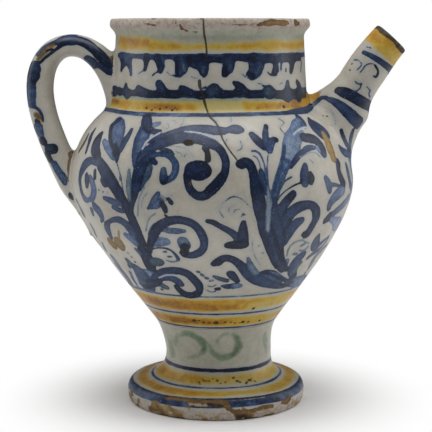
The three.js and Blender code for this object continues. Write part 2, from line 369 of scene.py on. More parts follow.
def on_tube(tube, lengths):
    """The middle, the side direction and the reach at some lengths along a tube."""
    line, reach = tube
    along = lengths_along(line)
    columns = [np.interp(lengths, along, values) for values in (*line.T, *line_normals(line).T, *reach.T)]
    table = np.column_stack(columns)
    return table[:, 0:2], table[:, 2:4], table[:, 4:7]


def tube_piece(middle, side, reach, power, columns):
    """Rings of points about a line in the XZ plane; side is the direction of the first reach."""
    turn = np.linspace(0, 2 * math.pi, columns, endpoint=False)
    c = np.cos(turn)
    s = np.sin(turn)
    cx = np.sign(c) * np.abs(c) ** (2 / power)
    sy = np.sign(s) * np.abs(s) ** (2 / power)
    offset = np.where(c[None, :] > 0, reach[:, :1], reach[:, 1:2]) * cx[None, :]
    x = middle[:, :1] + offset * side[:, :1]
    z = middle[:, 1:] + offset * side[:, 1:]
    y = reach[:, 2:] * sy[None, :]
    return np.stack([x, y, z], axis=2).reshape(-1, 3), grid_faces(len(middle), columns)


# Signed distances, negative inside the clay


def nearest_stops(places, line):
    """Which stop of a line is nearest to each place in its plane, and how far it is from there."""
    nearest = np.empty(len(places), int)
    for start in range(0, len(places), CHUNK):
        gaps = places[start:start + CHUNK, None, :] - line[None, :, :]
        nearest[start:start + CHUNK] = np.argmin((gaps ** 2).sum(2), axis=1)
    return nearest, places - line[nearest]


def wall_distance(points):
    out = np.hypot(points[:, 0] - wander(points[:, 2]), points[:, 1])
    nearest, gap = nearest_stops(np.column_stack([out, points[:, 2]]), WALL_LINE)
    return (gap * WALL_NORMAL[nearest]).sum(1)


def tube_distance(points, tube, power):
    line, reach = tube
    nearest, gap = nearest_stops(points[:, [0, 2]], line)
    aside = (gap * line_normals(line)[nearest]).sum(1)
    near = reach[nearest]
    thickness = np.where(aside > 0, near[:, 0], near[:, 1])
    share = (np.abs(aside / thickness) ** power + np.abs(points[:, 1] / near[:, 2]) ** power) ** (1 / power)
    return np.hypot(aside, points[:, 1]) * (1 - 1 / np.maximum(share, 1e-4))


def spout_distance(points):
    return tube_distance(points, SPOUT, 2)


def handle_distance(points):
    return tube_distance(points, HANDLE, STRAP_ROUNDNESS)


def from_spout_line(points):
    gap = nearest_stops(points[:, [0, 2]], SPOUT[0])[1]
    return np.hypot(np.linalg.norm(gap, axis=1), points[:, 1])


def past_mouth(points):
    """How far points lie past the plane of the spout's mouth; negative below it."""
    return (points[:, [0, 2]] - SPOUT[0][-1]) @ leaning(SPOUT_BEND_TILT, 1)


def blended(a, b, soft):
    near = np.maximum(soft - np.abs(a - b), 0) / soft
    return np.minimum(a, b) - near * near * soft * 0.25


def settle_on_fillet(points, first, second, soft, band=7.0):
    """Moves the points near a root onto the smooth union of two distances."""
    a = first(points)
    b = second(points)
    near = (np.abs(a) < band) & (np.abs(b) < band)
    moved = points.copy()
    if not near.any():
        return moved
    spot = points[near]
    nudge = 0.1
    for _ in range(4):
        level = blended(first(spot), second(spot), soft)
        slope = np.empty_like(spot)
        for axis in range(3):
            beside = spot + nudge * np.eye(3)[axis]
            slope[:, axis] = (blended(first(beside), second(beside), soft) - level) / nudge
        steep = np.maximum((slope ** 2).sum(1), 0.3)
        spot = spot - slope * np.clip(level / steep, -1.5, 1.5)[:, None]
    moved[near] = spot
    return moved


# Meshes


def turn_angles(radius):
    """Angles round the axis, fine on the side that the camera sees."""
    front = int(radius * 2 * FRONT_ANGLE / FRONT_STEP)
    back = int(radius * (2 * math.pi - 2 * FRONT_ANGLE) / BACK_STEP)
    return np.concatenate(
        [
            np.linspace(-FRONT_ANGLE, FRONT_ANGLE, front, endpoint=False),
            np.linspace(FRONT_ANGLE, 2 * math.pi - FRONT_ANGLE, back, endpoint=False),
        ]
    )


def grid_faces(rows, columns):
    index = np.arange(rows * columns).reshape(rows, columns)
    right = np.roll(index, -1, axis=1)
    quads = np.stack([index[:-1], right[:-1], right[1:], index[1:]], axis=2)
    return quads.reshape(-1, 4)


def closed_line(hidden_start, shown, hidden_end):
    """One outline for a grid: fine where it is painted, coarse elsewhere. Also tells which is which."""
    parts = []
    fine = []
    for line, step in ((hidden_start, HIDDEN_STEP), (shown, FRONT_STEP), (hidden_end, HIDDEN_STEP)):
        if line is None:
            continue
        points = stepped(line, step)
        if parts:
            points = points[1:]
        parts.append(points)
        fine.append(np.full(len(points), step == FRONT_STEP))
    return np.vstack(parts), np.concatenate(fine)


def round_piece(line, shown, radius):
    turns = turn_angles(radius)
    x = wander(line[:, 1])[:, None] + line[:, :1] * np.sin(turns)
    y = -line[:, :1] * np.cos(turns)
    z = np.repeat(line[:, 1:], len(turns), axis=1)
    points = np.stack([x, y, z], axis=2).reshape(-1, 3)
    return points, grid_faces(len(line), len(turns)), np.repeat(shown, len(turns))


def with_roots(points, faces, outer):
    """Fillets a round piece up to the spout and the handle, and opens it under them."""
    for distance, fillet, side in ((spout_distance, SPOUT_FILLET, 1), (handle_distance, HANDLE_FILLET, -1)):
        zone = outer & (points[:, 0] * side > ROOT_ZONE_OUT) & (np.abs(points[:, 1]) < ROOT_ZONE_WIDE)
        points = points.copy()
        points[zone] = settle_on_fillet(points[zone], wall_distance, distance, fillet)
        middle = points[faces].mean(axis=1)
        spots = np.flatnonzero(zone[faces].all(axis=1))
        gap = distance(middle[spots]) - wall_distance(middle[spots])
        keep = np.ones(len(faces), bool)
        keep[spots[gap < -OVERLAP]] = False
        faces = faces[keep]
    return points, faces


def vertex_normals(points, faces):
    corner = points[faces]
    flat = np.cross(corner[:, 2] - corner[:, 0], corner[:, 3] - corner[:, 1])
    total = np.zeros_like(points)
    for i in range(4):
        np.add.at(total, faces[:, i], flat)
    size = np.linalg.norm(total, axis=1)
    return total / np.maximum(size, 1e-12)[:, None]


def without_loose(points, faces, values):
    used = np.zeros(len(points), bool)
    used[faces.ravel()] = True
    renumbered = np.cumsum(used) - 1
    kept = {name: value[used] for name, value in values.items()}
    return points[used], renumbered[faces], kept


def make_mesh(name, points, faces, values, material):
    points, faces, values = without_loose(points, faces, values)
    mesh = bpy.data.meshes.new(name)
    mesh.vertices.add(len(points))
    mesh.vertices.foreach_set("co", (points * MM).astype(np.float32).ravel())
    mesh.loops.add(faces.size)
    mesh.loops.foreach_set("vertex_index", faces.astype(np.int32).ravel())
    mesh.polygons.add(len(faces))
    mesh.polygons.foreach_set("loop_start", np.arange(0, faces.size, 4, dtype=np.int32))
    mesh.polygons.foreach_set("use_smooth", np.ones(len(faces), bool))
    for key, value in values.items():
        layer = mesh.attributes.new(key, "FLOAT", "POINT")
        layer.data.foreach_set("value", value.astype(np.float32))
    mesh.update(calc_edges=True)
    mesh.validate()
    mesh.materials.append(material)
    piece = bpy.data.objects.new(name, mesh)
    bpy.context.collection.objects.link(piece)
    return piece


def ripple(points, wave, seed):
    """A smooth unevenness between about -1 and 1, from a few crossed waves."""
    random = np.random.default_rng(seed)
    total = np.zeros(len(points))
    for _ in range(6):
        direction = random.normal(size=3)
        direction /= np.linalg.norm(direction)
        length = wave * random.uniform(0.6, 1.6)
        total += np.sin(points @ direction * (2 * math.pi / length) + random.uniform(0, 2 * math.pi))
    return total / 3.2



# Brush strokes

# A stroke is (tone, hue, places), or (tone at its start, tone at its end, hue, places). A place is the x,
# the y and the width of the brush mark, in pixels of the camera's view, and a lone place makes a dot.
# Tone 0 is a pale wash and 1 nearly black, and below 0 the colour is lifted off. Hue -1 is a greenish
# grey, 0 is blue and 1 is violet.

# The plant at the left: its stem, spiral, leaves and bud
LEFT_PLANT = [
    (0.95, -0.8, [(72.5, 195.5, 5), (73.5, 195.8, 5)]),
    (0.9, 0, [(77, 201, 2)]),
    (0.85, 0.5, [(79.5, 205.5, 3), (83, 213, 4.5)]),
    (0.5, 0.4, -0.3, [
        (115, 158, 1.5), (118.5, 168, 1.5), (121, 178, 1.5), (123, 188, 1.3), (124, 196, 1.2),
    ]),
    (0.9, 0.5, [(101, 134.5, 3.5), (97, 141, 6.5), (95.5, 149, 8), (98, 157, 7)]),
    (0.3, 0.35, 0.1, [(104, 141, 5), (108, 148, 7), (112, 157, 4), (114, 160, 2)]),
    (0.85, 0.95, 0.3, [
        (97, 157, 5), (101, 165, 9), (107, 175, 12), (113, 184, 11), (119, 194, 10), (125, 204, 9),
        (130, 214, 8), (135, 225, 8), (139, 237, 9), (143, 248, 9.5), (147, 258, 10), (150, 266, 9),
        (152, 271, 5),
    ]),
    (0.6, 0.85, 0.2, [
        (97, 163, 7), (91, 161, 7), (85.5, 164, 6), (82, 170, 4.5), (80, 178, 3.5), (80.5, 186, 3),
        (82.5, 193, 3.2), (84.5, 198, 3),
    ]),
    (0.45, 0.35, 0.7, [
        (84, 198, 3), (88, 200, 5), (92.5, 197.5, 5), (94, 191, 5.5), (92.5, 184, 5), (90, 177, 3),
    ]),
    (0.8, -0.4, [(86.5, 176, 4), (87, 180, 5), (87, 185, 3.5)]),
    (0.9, 0.5, [(95, 171, 3.2), (95, 177.5, 3.2)]),
    (0.75, 0.7, -0.2, [(102, 180, 4), (105, 185, 4.5), (109, 185, 3)]),
    (0.55, -0.6, [(99.1, 190, 1.8)]),
    (0.55, -0.6, [(103.1, 192, 1.8)]),
    (0.55, -0.6, [(108.1, 193, 1.8)]),
    (0.4, -1, [(120.5, 177.5, 2.8), (120.6, 179.5, 2.8)]),
    (0.5, 0.3, [(104.5, 198, 4), (110, 200, 6), (116, 202.5, 6), (121, 204, 4)]),
    (0.6, 0.2, [(113, 207.5, 3.5), (118, 209.5, 5), (123, 211, 4)]),
    (0.55, 0.6, 0.4, [(95, 207, 5), (99.5, 212, 6), (102, 218, 4), (101, 222, 2)]),
    (0.6, 0.3, [(92, 210, 3), (93, 214, 2)]),
    (0.7, 0.6, 0.2, [
        (111, 237, 3), (107.5, 229, 5), (108, 223, 5), (113, 220, 5.5), (120, 220, 6.5), (126, 224, 7),
        (131, 230, 7), (134, 236, 5),
    ]),
    (0.5, 0.1, [(91, 225, 2), (94, 231, 2.5), (96, 236, 2)]),
    (0.75, 0.7, 0.4, [(95, 129, 1.5), (91, 136, 3), (89, 143, 2.6), (86, 152, 2)]),
    (0.45, 0.5, 0.4, [
        (118, 119, 4), (117, 127, 12), (116.5, 136, 14), (117, 146, 10), (117, 155, 6), (117, 161, 2),
    ]),
    (0.85, 0.2, [(119, 120, 3), (113, 124, 3), (110.5, 131, 2.8), (110.5, 139, 2.5), (112.5, 147, 2.2)]),
    (0.9, 0.1, [(114.5, 145, 4), (116, 151, 6), (117, 157, 4), (117, 161, 2)]),
    (0.7, 0.2, [(131.5, 129.5, 3), (128, 136, 5), (124, 143, 5.5), (121, 150, 4)]),
    (0.35, 0, [(126, 235, 4), (132, 239, 6), (136, 244, 4)]),
    (0.4, 0.1, [(102.5, 243, 1.5), (105, 249, 2.5)]),
]

# The leaves at the foot of the left plant
LEFT_BASE = [
    (0.3, 0.2, [(148, 275, 9), (153, 279, 10), (152, 286, 6)]),
    (0.55, -0.1, [(131, 267, 4), (136, 270, 8), (141, 276, 11), (145, 283, 10), (150, 287, 6)]),
    (0.6, 0.1, [(130, 272, 1.6), (133.5, 280, 1.8), (138, 286, 2)]),
    (-0.3, 0.1, [(132, 269.5, 1.5), (136.5, 280, 1.6), (139.5, 287, 1.4)]),
    (0.85, -0.1, [(145, 287, 3.5), (151, 285.5, 4), (157, 282, 3.5)]),
    (0.95, 0, [(147, 288, 2.5), (149, 287.3, 2.5)]),
    (0.5, 0.6, -0.8, [(127, 260, 2.5), (130, 263.5, 3.6), (132.5, 266, 2.5)]),
    (0.45, 0.5, 0.5, [(113, 258, 4), (117, 264, 5), (121, 270, 4.5), (126, 278, 3.5)]),
    (0.6, 0.7, 0.1, [(117, 266, 3.5), (122, 271, 4.5), (127, 278, 5), (131, 284, 4)]),
    (0.35, -0.2, [(117, 268.5, 1.2), (122, 275, 1.4), (127, 281.5, 1.4)]),
    (0.98, -0.2, [(128.5, 283, 2.5), (132, 286, 2.5)]),
    (0.35, -0.3, [(134, 287, 1.6), (145, 290, 1.6), (158, 293.2, 1.6)]),
    (0.35, -0.2, [(136, 249, 2.5), (140, 253, 3)]),
    (0.5, -0.7, [(127.8, 253, 1.5), (128.3, 253, 1.5)]),
    (0.5, -0.7, [(131.3, 257, 1.5), (131.8, 257, 1.5)]),
    (0.5, -0.7, [(134.8, 262, 1.5), (135.3, 262, 1.5)]),
]

# The broad leaf and stem left of the middle
BIG_STEM = [
    (0.1, -0.8, [(145, 187, 1.5), (140.5, 195, 1.8), (138.5, 205, 1.8), (138, 216, 1.6)]),
    (0.1, -0.8, [(147, 193, 1.5), (143, 199, 1.5), (141.5, 208, 1.3)]),
    (0.1, -0.8, [(155.5, 213.5, 2), (150.5, 217, 2.2), (147.5, 223, 2), (146, 231, 1.8)]),
    (0.1, -0.8, [(154.5, 223.5, 2), (150.5, 228, 2), (148.5, 234, 1.6)]),
    (0.5, 0.55, 0.3, [(146, 129, 10), (142, 137, 13), (139, 146, 12), (137, 155, 11), (138, 163, 12)]),
    (0.25, -0.2, [(152, 126, 3), (155, 124.5, 5), (158.5, 123.5, 4)]),
    (0.75, 0.3, [(149, 129, 6), (154, 131.5, 6), (159, 131.5, 4), (161, 130.5, 2)]),
    (0.85, 0.5, [(146, 117, 8), (146.5, 121, 11), (147, 126, 10), (149, 130, 7)]),
    (0.6, 0.3, [(141, 127, 2.5), (138.5, 134, 2.5), (136, 141, 3), (134, 149, 3)]),
    (0.55, 0.6, -0.5, [(148, 168, 10), (146, 174, 11), (142, 181, 9), (139, 188, 6)]),
    (0.85, 0.8, 0, [
        (153, 155, 7), (147, 158, 9), (142, 164, 11), (139, 171, 12), (137, 180, 11), (135, 190, 9),
        (133, 200, 7), (131, 210, 5), (131, 215, 3),
    ]),
    (0.8, 0.8, [(153, 160.5, 6), (155.5, 163, 5.5)]),
    (0.25, 0.3, -0.8, [(129, 170, 3), (128.5, 180, 5), (128.5, 190, 5), (130, 200, 3)]),
]

# The great arch and spiral in the middle
MIDDLE_ARCH = [
    (0.2, -1, [(163, 127, 1), (167, 129, 1), (169, 126, 1), (167, 123, 1)]),
    (0.2, -1, [(173, 120, 1), (176, 122, 1), (176, 124, 1)]),
    (0.2, -1, [(184, 118, 1), (183, 123, 1), (180, 126, 1)]),
    (0.2, -1, [(166, 146, 1), (175, 146, 1), (184, 148, 1), (190, 152, 1), (193, 157, 1)]),
    (0.75, 0.7, 0.2, [
        (150, 141, 5), (156, 138, 7), (163, 136.5, 7.5), (170, 134.5, 8), (178, 131.5, 7), (186, 129, 7),
        (196, 128.5, 8), (207, 129, 9), (216, 130.5, 9.5), (223, 131, 8),
    ]),
    (0.75, 0.88, 0.15, [
        (137.5, 163, 4), (141, 156, 6.5), (145.5, 151.5, 8), (151, 148, 9), (158, 144.5, 9.5),
        (165, 142, 10), (173, 139.3, 10.5), (182, 137.8, 11), (190, 137.5, 11), (198, 138.7, 11),
        (206, 141, 11), (213, 144.3, 10), (219, 148.5, 9), (223, 154, 8.5), (225.5, 161, 8.5),
        (225.5, 169, 8.5), (223, 177, 9), (218, 184, 10), (211, 191, 10), (204, 195.5, 10),
        (197, 195.5, 9), (191, 190.5, 8.5), (188, 183.5, 8), (187, 175, 8),
    ]),
    (-0.3, -0.2, 0, [(160, 132.8, 1.4), (152, 137.2, 1.5), (146, 142.5, 1.6), (142.5, 149, 1.5)]),
    (-0.25, 0, [
        (185, 131.6, 1.2), (195, 132.3, 1.5), (204, 134.3, 1.7), (212, 137.3, 1.8), (219, 140.2, 1.6),
    ]),
    (0.9, 0.95, 0.2, [(193, 170, 18), (199, 170.5, 21), (204, 171, 16)]),
    (0.8, 0.9, -0.5, [(205, 148, 7), (207.5, 153, 6), (208, 158, 7), (208, 160, 6)]),
    (0.55, -1, [(208, 156.5, 3), (208, 159, 3)]),
    (0.98, 0.4, [(221, 176, 7), (215, 184, 8), (209, 189, 7)]),
    (0.95, 0.9, -0.6, [(184.5, 142.5, 3), (188, 143, 6.5), (191, 143.5, 5)]),
    (0.7, -0.5, [(160, 149.3, 2.5), (165, 149.8, 4), (170, 151.5, 5), (173, 154.5, 4)]),
    (0.6, 0.45, 0.1, [
        (152, 156, 4), (158, 154.3, 5), (165, 154.7, 5.5), (171, 157.5, 6.5), (175, 163, 7.5),
        (175.5, 170, 7.5), (173, 176, 7.5), (168.5, 180, 6.5), (164, 181.5, 6),
    ]),
    (0.45, 0.95, -0.4, [(163.5, 170, 6.5), (163.5, 175, 8.5), (163.5, 179.5, 9), (163.5, 182, 6)]),
    (0.4, -1, [(176, 151, 1.5), (178, 153, 1.5)]),
    (0.4, -1, [(180, 153, 1.5), (182, 156, 1.5)]),
    (0.4, -1, [(184, 157, 1.5), (186, 154, 1.5)]),
]

# The small flower between the stems
FLOWER_LEFT = [
    (0.05, -1, [(162, 197, 3.5), (165, 199, 4)]),
    (0.5, 0.1, [(158, 193.5, 5), (155.5, 199, 8), (152, 205, 7), (148, 208.5, 3)]),
    (0.45, 0.5, 0.1, [(160, 200, 6), (157, 205, 8), (152, 207, 5)]),
    (0.95, 0.4, [(162.5, 203, 5), (164.5, 207.5, 6.5), (165.5, 211, 5)]),
    (0.9, 0.6, [(168.5, 198.8, 4), (171, 202, 5.2), (172, 203.5, 3.5)]),
    (0.95, -0.6, [(165, 215.3, 2.4), (166.5, 215.8, 2.4)]),
    (0.6, -0.5, [(171, 195.4, 1.6), (172, 195.4, 1.6)]),
]

# The second arch, below the great one
SECOND_ARCH = [
    (0.35, 0.25, 0.4, [(152, 243, 8), (159, 241.5, 9.5), (166, 241.5, 7.5)]),
    (0.45, 0.35, -0.3, [(160, 229, 4), (168, 230.5, 6), (177, 231, 6), (184, 231, 4)]),
    (0.88, 0.68, 0, [
        (151, 252, 3), (150.5, 244, 6), (153, 236, 10), (157, 229, 11), (163, 223.5, 10),
        (171, 220.5, 9), (180, 220, 8.5), (189, 222, 8.5), (196, 226.5, 8.5), (201, 233, 9),
        (204, 240.5, 9), (203.5, 247.5, 8.5), (199.5, 252.5, 8), (193, 255, 7), (186, 255, 5.5),
        (181, 253, 3),
    ]),
    (-0.3, 0, [(161, 235.3, 1.3), (170, 234.6, 1.3), (180, 235.2, 1.2)]),
    (0.35, 0.5, -0.5, [(183, 241.5, 11), (184.5, 245, 12)]),
    (0.95, 0.98, -0.2, [(185, 247, 9), (184.5, 251.5, 9), (184, 255, 6)]),
    (0.7, -1, [(184.5, 250, 3), (184.7, 252, 3)]),
    (0.75, 0.6, 0.1, [
        (150, 249.5, 1.4), (158, 248, 1.6), (165, 248.3, 1.8), (171, 250.5, 2.2), (175.5, 254.5, 3),
        (178.5, 259, 3.6),
    ]),
    (0.3, 0.2, -0.6, [(178, 260.5, 2.2), (172, 262, 1.8), (166.5, 260.3, 1.5)]),
    (0.45, -0.8, [(164, 251.8, 2.2), (166, 251.8, 2.2)]),
    (0.4, -0.9, [(168, 256.8, 2), (171, 256.6, 2)]),
    (0.5, 0.55, -0.7, [(153, 262, 6), (157, 262, 8.5), (160.5, 262, 6.5)]),
]

# The third arch, at the bottom
THIRD_ARCH = [
    (0.7, 0.6, 0, [(158, 280.5, 4), (164, 278.3, 5.5), (171, 278.5, 6), (177, 281, 6.5), (181, 284.3, 5)]),
    (0.7, 0.9, -0.1, [
        (151, 285, 5), (154, 279, 8), (160, 273.5, 8), (168, 271, 7.5), (178, 270.8, 7),
        (187, 273.5, 7.5), (194, 279.5, 8), (199, 286, 8), (199, 291.5, 7.5), (194, 295, 6.5),
        (187, 294.8, 6.5), (181, 291.5, 5.5), (176.5, 286.5, 4),
    ]),
    (-0.3, -0.25, -0.3, [(159, 277.8, 1.3), (166, 275.2, 1.4), (174, 275, 1.4), (183, 277.5, 1.3)]),
    (0.5, -0.6, [(159, 284, 4), (163, 286, 5), (166.5, 287.5, 4)]),
    (0.85, 0.2, [(150, 283, 6), (156, 283, 6), (160, 281, 5)]),
]

# The trunk right of the middle and the flower above it
CENTRE_STEM = [
    (0.72, 0.68, 0.5, [
        (221, 130.5, 6), (227, 130.3, 6), (232, 129.5, 8.5), (236, 129.2, 10), (240, 129.7, 7),
        (241.5, 130, 4),
    ]),
    (0.2, -1, [(213, 118, 1.2), (217, 122, 1.2)]),
    (0.2, -1, [(231, 118, 1.2), (231, 122, 1.2)]),
    (0.2, -1, [(227, 139, 1.2), (226, 142, 1.2)]),
    (0.3, -1, [(240, 141, 1.5), (242, 145, 1.5), (241, 149, 1.5), (237, 151, 1.5)]),
    (0.25, -1, [(279, 119, 1.2), (284, 123, 1.2), (280, 128, 1.2), (286, 135, 1.2)]),
    (0.95, 0.9, 0.3, [
        (240.5, 164, 9), (244, 161.5, 9), (249, 163.5, 9.5), (252, 169, 9.5), (253.5, 176, 9),
    ]),
    (0.95, 0, [(239.5, 164, 8), (242, 165.5, 8)]),
    (0.7, 0.75, 0, [
        (275, 200, 5), (274.5, 210, 7), (275, 220, 11), (277, 230, 14), (278, 241, 13), (280, 252, 8),
        (283, 262, 6), (287, 270, 5),
    ]),
    (0.9, 0.85, 0.1, [
        (254, 176, 9), (256, 186, 13), (258, 197, 14), (260, 208, 14), (263, 219, 14), (266, 230, 15),
        (270, 241, 15), (274, 252, 14), (278, 262, 12), (283, 270, 8),
    ]),
    (0.6, 0.7, -0.4, [(261, 171, 5), (262.5, 177, 7), (265, 184, 7), (267, 192, 7)]),
    (0.15, 0.1, -0.5, [
        (268, 186, 2), (268.5, 196, 4), (268.5, 208, 5), (268, 220, 5), (268, 229, 4), (268.5, 231.5, 2),
    ]),
    (0.45, 0, [(272, 240, 1.2), (274, 250, 1.4), (278, 261, 1.4), (282, 269, 1.2)]),
    (0.98, -0.3, [(282.5, 249.5, 2), (282, 253, 2.8), (280.5, 256.5, 2)]),
    (0.95, 0.5, [(272, 262, 2), (276, 267.5, 3)]),
    (0.75, 0.85, 0.1, [(252, 134.5, 6), (256, 139, 8), (260.5, 144, 7.5), (264, 148, 5)]),
    (0.65, 0.1, [(266, 126, 4.5), (265.5, 133, 6.5), (266, 141, 7), (267, 148, 6)]),
    (0.9, -0.5, [(266, 125.5, 3), (266.5, 127, 3)]),
    (0.7, 0.5, 0.4, [(276.5, 139.5, 4), (273.5, 140, 7.5), (270.5, 145, 8.5), (269.5, 150.5, 7)]),
    (0.95, 0.3, [(276, 139.3, 3.4), (277, 141, 2.5)]),
    (0.4, 0.35, 0.2, [
        (252, 151.3, 2.6), (256.5, 151.3, 2.4), (260.5, 155, 2.2), (263.5, 162, 2), (265.5, 171, 2),
        (266.5, 181, 1.8),
    ]),
    (0.35, 0.3, -0.2, [(253, 156, 1.8), (256.5, 157.5, 1.7), (259.5, 163, 1.6), (260.5, 168, 1.4)]),
    (0.35, 0.5, [(268, 155, 1.4), (267.3, 165, 1.6), (267.6, 175, 1.8), (268, 184, 1.6)]),
]

# The arrow-shaped flower in the middle and its faint curls
ARROW_FLOWER = [
    (0.35, -0.8, [
        (252.5, 208.5, 1.6), (248, 205, 1.7), (243.5, 200.5, 1.8), (238.5, 197.5, 1.8),
        (233.5, 196.7, 1.9), (228, 199, 1.8), (222.5, 203.5, 1.7), (219, 209, 1.8), (220.8, 213.5, 1.8),
        (223.3, 217.3, 1.7),
    ]),
    (0.35, -0.8, [(235, 205, 1.6), (230, 207, 1.6), (229, 211, 1.6)]),
    (0.35, -0.8, [(240, 209, 1.6), (235, 210, 1.6), (234, 212, 1.6)]),
    (0.35, -0.8, [(243, 214, 1.6), (241, 217, 1.6)]),
    (0.35, -0.8, [(243, 214, 1.6), (245, 215, 1.6)]),
    (0.9, 0.6, -0.1, [
        (207.5, 221, 4.5), (213, 222.3, 6), (220, 226, 6), (227, 229.8, 6.5), (233, 233.5, 7.5),
        (237, 238, 8), (238.5, 243, 7),
    ]),
    (0.9, 0.85, 0.5, [(243.5, 222.5, 6), (243, 228, 9), (243.2, 235, 11), (243, 242, 11.5), (242, 245, 9)]),
    (0.95, 0.1, [(228, 245.3, 6.5), (233, 245, 8.5), (239, 245, 8.5), (245, 245, 7)]),
    (0.95, -1, [(227.5, 245.5, 5), (229, 245.5, 5)]),
    (0.05, -0.9, [(252.5, 240, 1.3), (252.5, 250, 1.4), (256, 258.5, 1.5), (260.5, 266, 1.3)]),
    (0.6, 0.55, 0, [(256, 276, 8), (264, 277, 8), (272, 279, 8), (280, 282, 6)]),
    (0.45, 0.3, [(287, 283, 5), (293, 282, 6), (300, 281, 6), (304, 280.5, 5)]),
]

# The scroll, leaves and dots below the middle
LOWER_SCROLL = [
    (0.85, 0.6, 0.1, [
        (213.5, 264, 5), (218, 261.5, 8), (224, 258.3, 7.5), (231, 259, 7), (237, 262.3, 8),
        (242.5, 267.5, 10), (248, 273, 12), (254.5, 278, 12), (262, 281.8, 10), (270, 284.5, 7),
        (278, 286, 5), (285, 286.3, 3),
    ]),
    (0.9, 0.6, [(214.5, 263.8, 5.5), (218, 262.5, 7.5)]),
    (0.35, -0.5, [(248, 258, 3.5), (249.5, 263, 6), (252, 268, 7), (256, 273, 7)]),
    (0.8, 0.75, 0.3, [(262, 272, 2.5), (267, 271.5, 4), (273, 273, 5.5), (279, 276.5, 5), (285, 280.5, 4)]),
    (0.2, -0.3, [(270, 271.5, 1), (278, 274.5, 1.2), (287, 279, 1.2)]),
    (0.75, 0.4, [(280, 277, 2), (287, 280.5, 2.5), (293, 282.5, 2)]),
    (0.85, 0.2, [(280, 284.8, 1.6), (285, 285.3, 2.2), (289, 284.8, 1.6)]),
    (0.45, 0.6, -0.6, [(214, 276.5, 3), (220, 278.8, 4.5), (227, 280.8, 4)]),
    (0.5, 0.95, -0.1, [(222.5, 286, 2.5), (227, 286.6, 5), (233, 286, 5.5)]),
    (0.35, 0.3, -0.1, [(235, 286, 5.5), (239.5, 286, 4.5)]),
    (0.75, 0.9, 0.1, [(229, 273, 4.5), (231.5, 274.5, 8), (234.5, 278, 7.5), (238, 281.5, 4.5)]),
    (0.9, 0.5, [(216, 289, 3), (218.5, 289, 3.6)]),
    (0.3, -0.8, [(208, 285.8, 1.3), (212, 286.8, 1.5), (216, 285, 1.3)]),
    (0.35, -0.8, [(207, 290, 1.3), (211, 292, 1.5), (215.5, 291.5, 1.3)]),
    (0.4, -0.8, [(197.5, 271.5, 2.5), (198.8, 272, 2.5)]),
    (0.35, -0.9, [(201.5, 274.5, 2.8), (203, 275.5, 2.8)]),
    (0.45, -0.7, [(206, 277.8, 2.8), (207.5, 278.3, 2.8)]),
    (0.3, -0.8, [(210, 281, 2.5), (212.5, 280.5, 2.5)]),
    (0.3, -1, [(259, 246, 1.6)]),
    (0.3, -1, [(263, 253, 1.6)]),
]

